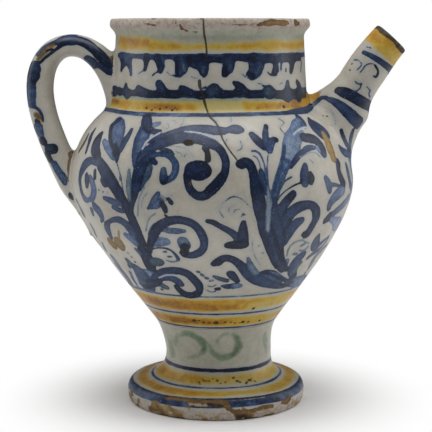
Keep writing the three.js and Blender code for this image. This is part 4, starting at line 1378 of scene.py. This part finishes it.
def brush(layer, points, strokes, flat=False, grain=0.05, web=PAINT_WEB, tint=False):
    """Lays strokes on a layer. Flat ones ignore y, and tints only shift the tone of what is there."""
    for number, (*tones, hue, places) in enumerate(strokes):
        line = landed(places)
        if len(line) < 2:
            continue
        if flat:
            line[:, 1] = 0
        margin = line[:, 3].max() + DEPTH_REACH
        low = line[:, :3].min(axis=0) - margin
        high = line[:, :3].max(axis=0) + margin
        spots = np.flatnonzero(((points > low) & (points < high)).all(axis=1))
        if len(spots) == 0:
            continue
        depth, share = into_stroke(points[spots], line)
        tone = mix(tones[0], tones[-1], share)
        if tint:
            layer["tone"][spots] += (tone - 0.45) * smoothstep(depth, -2.2, 1.6)
            continue
        tone = tone + 0.05 * np.sin(math.pi * np.clip(tone, 0, 1))
        pooled = 0.14 * np.exp(-(depth / 0.7) ** 2) - 0.07 * smoothstep(depth, 1.0, 3.2)
        streak = grain * np.sin(depth * 4.3 + number + 1.5 * np.sin(share * 9))
        lay_on(layer, spots, depth, tone + (pooled + streak) * (tones[0] > 0), hue, web)


def folded(points):
    """Brings the far side round to the near one, a little turned, so that both carry the ornament."""
    out = points.copy()
    axis = wander(points[:, 2])
    turn = np.arctan2(points[:, 0] - axis, -points[:, 1])
    radius = np.hypot(points[:, 0] - axis, points[:, 1])
    back = points[:, 1] > 0
    near = np.sign(turn) * (math.pi - np.abs(turn))
    near = near + FAR_SIDE_TURN * np.cos(near)
    out[back, 0] = (axis + radius * np.sin(near))[back]
    out[back, 1] = (-radius * np.cos(near))[back]
    out[back, 2] += np.cos(near[back]) ** 2
    return out


# Rings and zones, painted round the axis


def turned_from(points, side):
    """The angle round the axis from the spout, side 1, or from the handle, side -1."""
    return np.abs(np.arctan2(points[:, 1], side * (points[:, 0] - wander(points[:, 2]))))


def ring_layers(points, layers):
    place = along_wall(points[:, 2] + 0.35 * ripple(points * (1, 1, 0.05), 70, 3))
    rough = 0.1 * ripple(points, 9, 4) + 0.12 * ripple(points, 26, 21)
    by_handle = 1 - smoothstep(turned_from(points, -1), HANDLE_CLEAR * 0.7, HANDLE_CLEAR)
    by_spout = 1 - smoothstep(turned_from(points, 1), SPOUT_CLEAR * 0.9, SPOUT_CLEAR)
    clear = np.where(points[:, 2] > UPPER_NECK, by_handle * 6, 0)
    clear = clear + np.where(np.abs(points[:, 2] - SHOULDER) < SHOULDER_REACH, by_spout * 6, 0)
    for height, half, tone, hue in BLUE_RINGS:
        depth = half + rough - np.abs(place - along_wall(height)) - clear
        near = np.flatnonzero(depth > -DEPTH_REACH)
        blotch = 0.16 * ripple(points[near], 14, 5) + 0.13 * ripple(points[near], 5, 22)
        lay_on(layers["blue"], near, depth[near], tone + blotch, hue)
    dip = NECK_DIP * (smoothstep(points[:, 0], -45, -15) - 0.4 * smoothstep(points[:, 0], 10, 35))
    for low, high, brown, crisp in OCHRE_ZONES:
        top = along_wall(high) - (dip if high > UPPER_NECK else 0)
        depth = np.minimum(place - along_wall(low), top - place) * crisp + 2 * rough - clear
        near = np.flatnonzero(depth > -DEPTH_REACH)
        warmth = 0.12 * ripple(points[near], 75, 14) + 0.34 * smoothstep(depth[near], -0.2, 2.2) - 0.3
        lay_on(layers["ochre"], near, depth[near], brown + warmth, 0)
    for low, high, most in GREEN_TINTS:
        depth = np.minimum(place - along_wall(low), along_wall(high) - place) + 2 * rough
        near = np.flatnonzero(depth > -DEPTH_REACH)
        lay_on(layers["green"], near, np.minimum(depth[near], most), GREEN_TINT_TONE, 0)


def mouth_ring(points, ochre):
    place = past_mouth(points) + 0.4 * ripple(points, 8, 23)
    depth = np.minimum(-MOUTH_OCHRE_START - place, place + MOUTH_OCHRE)
    near = np.flatnonzero(depth > -DEPTH_REACH)
    lay_on(ochre, near, depth[near], 0.36 + 0.14 * ripple(points[near], 18, 24), 0)


# Everything that is painted, stained, worn or lost on a piece


def painted_layers(name, shown):
    layers = {key: new_layer(len(shown)) for key in ("blue", "ochre", "green", "bare", "stain", "crack")}
    if name == "handle":
        flat = shown * (1, 0, 1)
        brush(layers["blue"], flat, HANDLE_STROKES, flat=True, grain=0.12)
        brush(layers["ochre"], flat, HANDLE_OCHRE, flat=True)
        brush(layers["stain"], flat, HANDLE_STAINS, flat=True)
        return layers
    if name == "spout":
        near = np.column_stack([shown[:, 0], -np.abs(shown[:, 1]), shown[:, 2]])
        mouth_ring(shown, layers["ochre"])
    else:
        near = folded(shown)
        ring_layers(shown, layers)
    brush(layers["ochre"], near, SPOUT_OCHRE)
    brush(layers["ochre"], near, BAND_TINTS, tint=True)
    brush(layers["green"], near, GREEN_SWIRLS)
    brush(layers["blue"], near, NECK_UPPER + NECK_LOWER, web=NECK_WEB)
    brush(layers["blue"], near, BLUE_STROKES)
    brush(layers["bare"], near, CHIPS)
    brush(layers["stain"], near, OLIVE_DABS + STAINS)
    brush(layers["stain"], near, [(PIT_TONE, 0, [pit]) for pit in PITS])
    near_side_only = np.where(shown[:, 1:2] > 0, 1e4, shown)
    brush(layers["crack"], near_side_only, CRACKS)
    return layers


# Paints the lip and the top of the bore near black: a dark worn edge on the lip, and painted shade inside
# the mouth
def darken_mouth(points, values):
    edge = past_mouth(points) + MOUTH_DARK + 0.5 * ripple(points, 7, 7)
    land = smoothstep(edge, MOUTH_DARK - 0.9, MOUTH_DARK - 0.3)
    tone = 0.98 - 0.12 * land + 0.12 * ripple(points, 4, 25)
    values["stain_tone"] = np.where(edge > values["stain_depth"], tone, values["stain_tone"])
    values["stain_depth"] = np.clip(np.maximum(values["stain_depth"], edge), -3, 3)


def flake_foot(points, outer, values):
    height = points[:, 2]
    flaking = 0.9 * ripple(points, 17, 11) + 0.75 * ripple(points, 6, 12) + 0.12 * (3.5 - height)
    flaking = np.where(height < FLAKING_TOP, flaking - 0.3 * np.maximum(height - BULGE_HEIGHT, 0), NEVER)
    flaking = np.clip(flaking, -3, 1.5)
    tone = 0.5 + 0.35 * ripple(points, 11, 13)
    values["bare_tone"] = np.where(flaking > values["bare_depth"], tone, values["bare_tone"])
    values["bare_depth"] = np.maximum(values["bare_depth"], flaking)
    values["bare_depth"][~outer] = 3
    values["bare_tone"][~outer] = 0.15


def painted(name, points, outer):
    """The values that the glaze reads at each point of a piece. The brush strokes go only on its outer
    skin. The near-black at the spout's mouth, which is partly painted shade, also reaches into the bore.
    """
    layers = painted_layers(name, points[outer])
    values = {}
    for key, layer in layers.items():
        for part, nothing in (("depth", NEVER), ("tone", 0.0)):
            value = np.full(len(points), nothing)
            value[outer] = layer[part]
            values[key + "_" + part] = np.clip(value, -3, 9)
    values["blue_hue"] = np.zeros(len(points))
    values["blue_hue"][outer] = layers["blue"]["hue"]
    values["worn"] = np.zeros(len(points))
    if name == "neck":
        values["worn"] = smoothstep(points[:, 2] + 0.8 * ripple(points, 12, 6), *RIM_WEAR)
    if name == "spout":
        darken_mouth(points, values)
    if name == "foot":
        height = points[:, 2] - 1.2 * ripple(points, 10, 8)
        values["worn"] = (1 - smoothstep(height, *FOOT_WEAR)) * outer
        flake_foot(points, outer, values)
    return values


def roughened(points, faces, outer, values):
    """Presses the surface in a little: unevenness, lost glaze and the hairline. Nothing stands out."""
    normals = vertex_normals(points, faces)
    depth = 0.1 + 0.1 * ripple(points, 45, 1) + 0.05 * ripple(points, 14, 2)
    depth = depth + 0.55 * smoothstep(values["bare_depth"], -0.1, 0.9) * (0.7 + 0.3 * ripple(points, 5, 9))
    depth = depth + 0.2 * smoothstep(values["crack_depth"], -0.5, 0.1)
    depth = np.where(outer, np.maximum(depth, 0), 0)
    return points - normals * depth[:, None]


# The glaze. Stops are (value, colour as it is seen).
WHITE_STOPS = [(0.2, "#a49f92"), (0.5, "#b8b3a7"), (0.8, "#c4c0b6")]
WARM_STAIN = "#a99f88"
BLUE_HALO = "#98a1ab"
SPECK = "#6a6254"
BUBBLE = "#8f9cac"
PINHOLE_COLOUR = "#4a3d2c"
CRACK_COLOUR = "#2c2319"
BLUE_TONES = (-0.3, 0.0, 0.3, 0.55, 0.8, 1.0)
BLUES = ("#b4b6b7", "#929daa", "#5d7292", "#324869", "#1c2c4c", "#0d172b")
GREYS = ("#b2b4ae", "#979e99", "#66767c", "#3d5058", "#223440", "#101a25")
VIOLETS = ("#b4b4bb", "#9294a6", "#606a96", "#384274", "#202853", "#0f1330")
OCHRE_STOPS = [(0.0, "#bcb074"), (0.25, "#c0a23e"), (0.5, "#b68924"), (0.75, "#9a6a1f"), (1.0, "#584a28")]
GREEN_STOPS = [(0.0, "#949e86"), (0.5, "#5f7c5c"), (1.0, "#3a5c40")]
# The stain stops also colour the near-black at the spout's mouth, which is partly painted shade
STAIN_AND_SHADE_STOPS = [(0.0, "#9a8a6c"), (0.5, "#7a6242"), (1.0, "#2c2219")]
CLAY_STOPS = [(0.0, "#bcb09a"), (0.4, "#988156"), (0.65, "#785c3a"), (1.0, "#382a1e")]
WORN_STOPS = [(0.3, "#8a7966"), (0.5, "#b0a296"), (0.7, "#c8bdb3")]

# Roughness of the glaze, how much rougher bare clay is, and how strongly the glaze reflects
GLOSS_LOW = 0.28
GLOSS_HIGH = 0.44
DULLER = 0.42
GLAZE_IOR = 1.5
GLAZE_SPECULAR = 0.34

# Fine relief in millimetres, as bump
GRAIN_RELIEF = 0.022
DIMPLE_RELIEF = 0.1
THROWING_RELIEF = 0.09
PAINT_RELIEF = 0.03
PINHOLE_RELIEF = -0.2
CRACK_RELIEF = -0.12
CLAY_RELIEF = 0.16


def linear(code):
    """A colour as it is seen, written #rrggbb, in Blender's linear numbers."""
    parts = [int(code[i:i + 2], 16) / 255 for i in (1, 3, 5)]
    return (*((p / 12.92 if p <= 0.04045 else ((p + 0.055) / 1.055) ** 2.4) for p in parts), 1)


class Graph:
    """Short calls for building a material's nodes. Sizes are millimetres."""

    def __init__(self, tree):
        self.tree = tree
        self.coordinates = None

    def plug(self, socket, value):
        if isinstance(value, bpy.types.NodeSocket):
            self.tree.links.new(value, socket)
        else:
            socket.default_value = value

    def add(self, kind, inputs, **settings):
        node = self.tree.nodes.new("ShaderNode" + kind)
        for key, value in settings.items():
            setattr(node, key, value)
        for key, value in inputs.items():
            self.plug(node.inputs[key], value)
        return node

    def place(self):
        if self.coordinates is None:
            self.coordinates = self.add("TexCoord", {})
        return self.coordinates.outputs["Object"]

    def read(self, name):
        return self.add("Attribute", {}, attribute_name=name).outputs["Fac"]

    def noise(self, size, detail=3, rough=0.55, twist=0.0, stretch=None):
        place = self.place()
        if stretch:
            place = self.add("Mapping", {"Vector": place, "Scale": stretch}).outputs["Vector"]
        inputs = {"Vector": place, "Scale": 1 / MM / size, "Detail": detail}
        inputs |= {"Roughness": rough, "Distortion": twist}
        return self.add("TexNoise", inputs).outputs["Fac"]

    def dots(self, spacing, radius, share):
        """Small round spots, 1 in the middle of a spot, on a share of the cells."""
        cells = self.add("TexVoronoi", {"Vector": self.place(), "Scale": 1 / MM / spacing})
        spot = self.span(cells.outputs["Distance"], radius / spacing, radius / spacing * 0.5)
        split = self.add("SeparateColor", {"Color": cells.outputs["Color"]})
        return self.times(spot, self.math("LESS_THAN", split.outputs[0], share))

    def math(self, kind, a, b):
        return self.add("Math", {0: a, 1: b}, operation=kind).outputs[0]

    def times(self, a, b):
        return self.math("MULTIPLY", a, b)

    def greatest(self, first, *others):
        for other in others:
            first = self.math("MAXIMUM", first, other)
        return first

    def span(self, value, low, high, to_low=0.0, to_high=1.0):
        inputs = {"Value": value, "From Min": low, "From Max": high, "To Min": to_low, "To Max": to_high}
        return self.add("MapRange", inputs, interpolation_type="SMOOTHSTEP").outputs["Result"]

    def ramp(self, value, low, high, stops):
        """Colours at values between low and high."""
        share = self.add("MapRange", {"Value": value, "From Min": low, "From Max": high})
        node = self.add("ValToRGB", {"Fac": share.outputs["Result"]})
        elements = node.color_ramp.elements
        while len(elements) < len(stops):
            elements.new(0.5)
        for element, (value_at, code) in zip(elements, stops):
            element.position = (value_at - low) / (high - low)
            element.color = linear(code)
        return node.outputs["Color"]

    def mix(self, share, a, b):
        return self.add("Mix", {"Factor": share, 6: a, 7: b}, data_type="RGBA").outputs[2]

    def shifted(self, value, noise, amount):
        """A value moved up and down by a noise."""
        return self.math("ADD", value, self.times(self.math("SUBTRACT", noise, 0.5), amount * 2))


def white_glaze(g):
    cloud = g.noise(55, 3)
    patch = g.noise(9, 4, 0.6)
    grain = g.noise(1.6, 3, 0.7)
    tone = g.shifted(g.shifted(cloud, patch, 0.35), grain, 0.25)
    colour = g.ramp(tone, 0, 1, WHITE_STOPS)
    warm = g.span(g.noise(34, 4, 0.6, 0.6), 0.55, 0.78, 0, 0.45)
    colour = g.mix(warm, colour, linear(WARM_STAIN))
    halo = g.span(g.read("blue_depth"), -2.4, 0.1, 0, 0.38)
    colour = g.mix(halo, colour, linear(BLUE_HALO))
    return g.mix(g.times(g.dots(3.1, 0.28, 0.22), 0.5), colour, linear(SPECK))


def blue_paint(g, under):
    fray = g.noise(1.3, 3, 0.6)
    unsteady = g.noise(4.5, 2)
    depth = g.shifted(g.shifted(g.read("blue_depth"), fray, 0.28), unsteady, 0.22)
    mask = g.span(depth, -0.16, 0.26)
    wash = g.noise(4.5, 4, 0.7, 0.8)
    grain = g.noise(1.0, 3, 0.75)
    tone = g.shifted(g.shifted(g.read("blue_tone"), wash, 0.38), grain, 0.3)
    hue = g.read("blue_hue")
    blue, grey, violet = (
        g.ramp(tone, BLUE_TONES[0], BLUE_TONES[-1], list(zip(BLUE_TONES, colours)))
        for colours in (BLUES, GREYS, VIOLETS)
    )
    colour = g.mix(g.span(hue, 0, -1, 0, 0.85), blue, grey)
    colour = g.mix(g.span(hue, 0, 1, 0, 0.5), colour, violet)
    colour = g.mix(g.times(g.dots(1.7, 0.27, 0.36), 0.62), colour, linear(BUBBLE))
    return g.mix(mask, under, colour), mask


def ochre_paint(g, under):
    depth = g.shifted(g.read("ochre_depth"), g.noise(2.2, 4, 0.65), 0.75)
    mask = g.span(depth, -0.7, 1.0, 0, 0.97)
    mottle = g.noise(7, 4, 0.65, 1.0)
    grain = g.noise(1.4, 3, 0.7)
    tone = g.shifted(g.shifted(g.read("ochre_tone"), mottle, 0.5), grain, 0.22)
    return g.mix(mask, under, g.ramp(tone, 0, 1, OCHRE_STOPS))


def patches(g, under, name, stops, softness, strength, fray_size=1.5, fray=0.3):
    """Lays one kind of patch over what is under it, with edges frayed by a noise. Also gives its mask."""
    depth = g.shifted(g.read(name + "_depth"), g.noise(fray_size, 3, 0.6), fray)
    mask = g.span(depth, -softness, softness, 0, strength)
    tone = g.shifted(g.read(name + "_tone"), g.noise(2.5, 4, 0.7), 0.3)
    return g.mix(mask, under, g.ramp(tone, 0, 1, stops)), mask


def relief(g, blue, wear, bare, pinhole, crack):
    """The height of the fine relief, from grain, dimples, throwing rings and what lies on the glaze."""
    clay_grain = g.times(g.noise(0.8, 4, 0.7), g.greatest(bare, wear))
    height = g.times(g.noise(1.7, 2, 0.6), GRAIN_RELIEF)
    for part, size in (
        (g.noise(6, 2), DIMPLE_RELIEF),
        (g.noise(5, 2, 0.5, 0, (0.05, 0.05, 1)), THROWING_RELIEF),
        (blue, PAINT_RELIEF),
        (pinhole, PINHOLE_RELIEF),
        (crack, CRACK_RELIEF),
        (clay_grain, CLAY_RELIEF),
    ):
        height = g.math("ADD", height, g.times(part, size))
    return height


def glaze_material():
    material = bpy.data.materials.new("tin_glaze")
    material.use_nodes = True
    surface = material.node_tree.nodes["Principled BSDF"]
    g = Graph(material.node_tree)
    colour = white_glaze(g)
    colour, _ = patches(g, colour, "green", GREEN_STOPS, 1.9, 0.9, 5, 1.9)
    colour = ochre_paint(g, colour)
    colour, blue = blue_paint(g, colour)
    # Stains, pits and olive dabs, and the near-black at the spout's mouth, which is partly painted shade
    colour, stain = patches(g, colour, "stain", STAIN_AND_SHADE_STOPS, 0.35, 0.95)
    wear = g.times(g.read("worn"), g.span(g.noise(3.2, 4, 0.65, 0.4), 0.34, 0.52))
    colour = g.mix(wear, colour, g.ramp(g.noise(1.8, 4, 0.7), 0.25, 0.75, WORN_STOPS))
    colour, bare = patches(g, colour, "bare", CLAY_STOPS, 0.16, 1.0, 2.8, 1.1)
    crack = g.span(g.shifted(g.read("crack_depth"), g.noise(2, 2), 0.2), -0.3, 0.0, 0, 0.92)
    colour = g.mix(crack, colour, linear(CRACK_COLOUR))
    pinhole = g.dots(7.5, 0.42, 0.3)
    colour = g.mix(g.times(pinhole, 0.75), colour, linear(PINHOLE_COLOUR))
    g.plug(surface.inputs["Base Color"], colour)

    dull = g.greatest(bare, stain, g.times(wear, 0.6))
    gloss = g.span(g.noise(6, 4, 0.65), 0.3, 0.7, GLOSS_LOW, GLOSS_HIGH)
    g.plug(surface.inputs["Roughness"], g.math("ADD", gloss, g.times(dull, DULLER)))
    g.plug(surface.inputs["IOR"], GLAZE_IOR)
    g.plug(surface.inputs["Specular IOR Level"], GLAZE_SPECULAR)
    height = relief(g, blue, wear, bare, pinhole, crack)
    bump = g.add("Bump", {"Strength": 1, "Distance": MM, "Height": height})
    g.plug(surface.inputs["Normal"], bump.outputs["Normal"])
    return material


# Pieces


def dressed(name, points, faces, outer):
    """Roughens, paints and hands over one piece that stands for the CAD node of the same name."""
    values = painted(name, points, outer)
    points = roughened(points, faces, outer, values)
    piece = make_mesh("glazed_" + name, points, faces, values, GLAZE)
    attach(piece, "root")
    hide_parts(name)


def make_foot():
    line, fine = closed_line(None, foot_outside(), foot_inside())
    dressed("foot", *round_piece(line, fine, FOOT_RADIUS))


def make_body():
    underside = straight((0.01, FOOT_HEIGHT), (BODY_BASE_RADIUS, FOOT_HEIGHT))
    inside = joined(straight((NECK_SEAM_RADIUS, SEAM_HEIGHT)), body_inside()[::-1])
    line, fine = closed_line(underside, body_outside(), inside)
    points, faces, outer = round_piece(line, fine, BELLY_RADIUS)
    points, faces = with_roots(points, faces, outer)
    middle = points[faces].mean(axis=1)
    bore = np.zeros(len(faces), bool)
    deep = np.flatnonzero(~outer[faces[:, 0]] & (middle[:, 0] > ROOT_ZONE_OUT))
    bore[deep] = from_spout_line(middle[deep]) < BORE_RADIUS
    dressed("body", points, faces[~bore], outer)


def make_neck():
    inside = neck_inside()
    on_lip = inside[:, 1] > RIM_ROOT_HEIGHT + 1
    line, fine = closed_line(None, joined(neck_outside(), inside[on_lip][1:]), inside[~on_lip])
    points, faces, outer = round_piece(line, fine, RIM_RADIUS)
    points, faces = with_roots(points, faces, outer)
    dressed("neck", points, faces, outer)


def make_spout():
    whole = lengths_along(SPOUT[0])[-1]
    lip = SPOUT_LIP
    outside = np.arange(0, whole - lip, FRONT_STEP)
    turn = np.linspace(0, math.pi / 2, 6)
    land = np.full(5, whole)
    bore = np.arange(whole - 0.4, 8, -BORE_STEP)
    lengths = np.concatenate([outside, whole - lip + lip * np.sin(turn), land, bore])
    middle, side, reach = on_tube(SPOUT, lengths)
    lip_start = len(outside)
    land_start = lip_start + len(turn)
    bore_start = land_start + len(land)
    rounding = SPOUT_MOUTH_RADIUS - lip * (1 - np.cos(turn))
    reach[lip_start:land_start] = rounding[:, None]
    across = np.linspace(SPOUT_MOUTH_RADIUS - lip - 0.5, BORE_RADIUS + 0.4, len(land))
    reach[land_start:bore_start] = across[:, None]
    reach[bore_start:] = BORE_RADIUS
    points, faces = tube_piece(middle, side, reach, 2, SPOUT_SIDES)
    outer = np.repeat(np.arange(len(lengths)) < bore_start, SPOUT_SIDES)
    points[outer] = settle_on_fillet(points[outer], spout_distance, wall_distance, SPOUT_FILLET)
    middle = points[faces].mean(axis=1)
    depth = wall_distance(middle)
    skin = outer[faces[:, 0]]
    keep = np.where(skin, depth > spout_distance(middle) - OVERLAP, depth > -BODY_WALL - 0.3)
    dressed("spout", points, faces[keep], outer)


def make_handle():
    lengths = np.arange(0, lengths_along(HANDLE[0])[-1], FRONT_STEP)
    points, faces = tube_piece(*on_tube(HANDLE, lengths), STRAP_ROUNDNESS, HANDLE_SIDES)
    points = settle_on_fillet(points, handle_distance, wall_distance, HANDLE_FILLET)
    middle = points[faces].mean(axis=1)
    keep = wall_distance(middle) > handle_distance(middle) - OVERLAP
    dressed("handle", points, faces[keep], np.ones(len(points), bool))


GLAZE = glaze_material()
make_foot()
make_body()
make_neck()
make_spout()
make_handle()


# Camera, floor and light, in metres
WORLD_FILL = 0.16
FLOOR_SIZE = 12
FLOOR_COLOUR = (0.93, 0.93, 0.93, 1)
FLOOR_ROUGHNESS = 0.8
FLOOR_SPECULAR = 0.2
FLOOR_NEAR = 0.05
FLOOR_FAR = 0.14
WHITE = (1, 1, 1, 1)
SENSOR_WIDTH = 36

# Name, place, where it points, size and power
LAMPS = [
    ("top_soft", (0.0, -0.15, 1.1), (0, 0, 0.15), (1.0, 0.8), 9.5),
    ("left_soft", (-1.0, 0.2, 0.5), (0, 0, 0.14), (0.8, 1.1), 3.3),
    ("right_soft", (1.0, 0.2, 0.5), (0, 0, 0.14), (0.8, 1.1), 4.4),
]


def make_camera():
    camera = bpy.data.objects.new("camera", bpy.data.cameras.new("camera"))
    bpy.context.collection.objects.link(camera)
    camera.location = CAMERA_PLACE
    camera.rotation_euler = (math.radians(90 - CAMERA_DOWN), 0, 0)
    camera.data.sensor_width = SENSOR_WIDTH
    camera.data.lens = SENSOR_WIDTH * FOCAL_PIXELS / PHOTO_SIZE
    bpy.context.scene.camera = camera


def make_floor():
    """A white floor that keeps the jar's shadow and fades into the white background further off."""
    bpy.ops.mesh.primitive_plane_add(size=FLOOR_SIZE, location=(0, 0, 0))
    floor = bpy.context.object
    floor.name = "floor"
    material = bpy.data.materials.new("floor_white")
    material.use_nodes = True
    nodes = material.node_tree.nodes
    surface = nodes["Principled BSDF"]
    g = Graph(material.node_tree)
    g.plug(surface.inputs["Base Color"], FLOOR_COLOUR)
    g.plug(surface.inputs["Roughness"], FLOOR_ROUGHNESS)
    g.plug(surface.inputs["Specular IOR Level"], FLOOR_SPECULAR)
    apart = g.add("VectorMath", {0: g.place()}, operation="LENGTH")
    fade = g.span(apart.outputs["Value"], FLOOR_NEAR, FLOOR_FAR)
    path = g.add("LightPath", {})
    seen = g.greatest(path.outputs["Is Camera Ray"], path.outputs["Is Transmission Ray"])
    white = g.add("Emission", {"Color": WHITE, "Strength": 1})
    choice = g.add("MixShader", {0: g.times(fade, seen), 1: surface.outputs[0], 2: white.outputs[0]})
    g.plug(nodes["Material Output"].inputs["Surface"], choice.outputs[0])
    floor.data.materials.append(material)


def make_world():
    """A faint even fill, behind which the camera sees plain white."""
    world = bpy.data.worlds.new("studio")
    world.use_nodes = True
    world.node_tree.nodes.clear()
    g = Graph(world.node_tree)
    fill = g.add("Background", {"Color": WHITE, "Strength": WORLD_FILL})
    white = g.add("Background", {"Color": WHITE, "Strength": 1})
    path = g.add("LightPath", {})
    choice = g.add("MixShader", {0: path.outputs["Is Camera Ray"], 1: fill.outputs[0], 2: white.outputs[0]})
    g.add("OutputWorld", {"Surface": choice.outputs[0]})
    bpy.context.scene.world = world


def make_lamp(name, place, target, size, power):
    data = bpy.data.lights.new(name, "AREA")
    data.shape = "RECTANGLE"
    data.size, data.size_y = size
    data.energy = power
    lamp = bpy.data.objects.new(name, data)
    bpy.context.collection.objects.link(lamp)
    lamp.location = place
    toward = Vector(target) - Vector(place)
    lamp.rotation_euler = toward.to_track_quat("-Z", "Y").to_euler()


make_camera()
make_floor()
make_world()
for lamp in LAMPS:
    make_lamp(*lamp)
bpy.context.scene.view_settings.view_transform = "Standard"
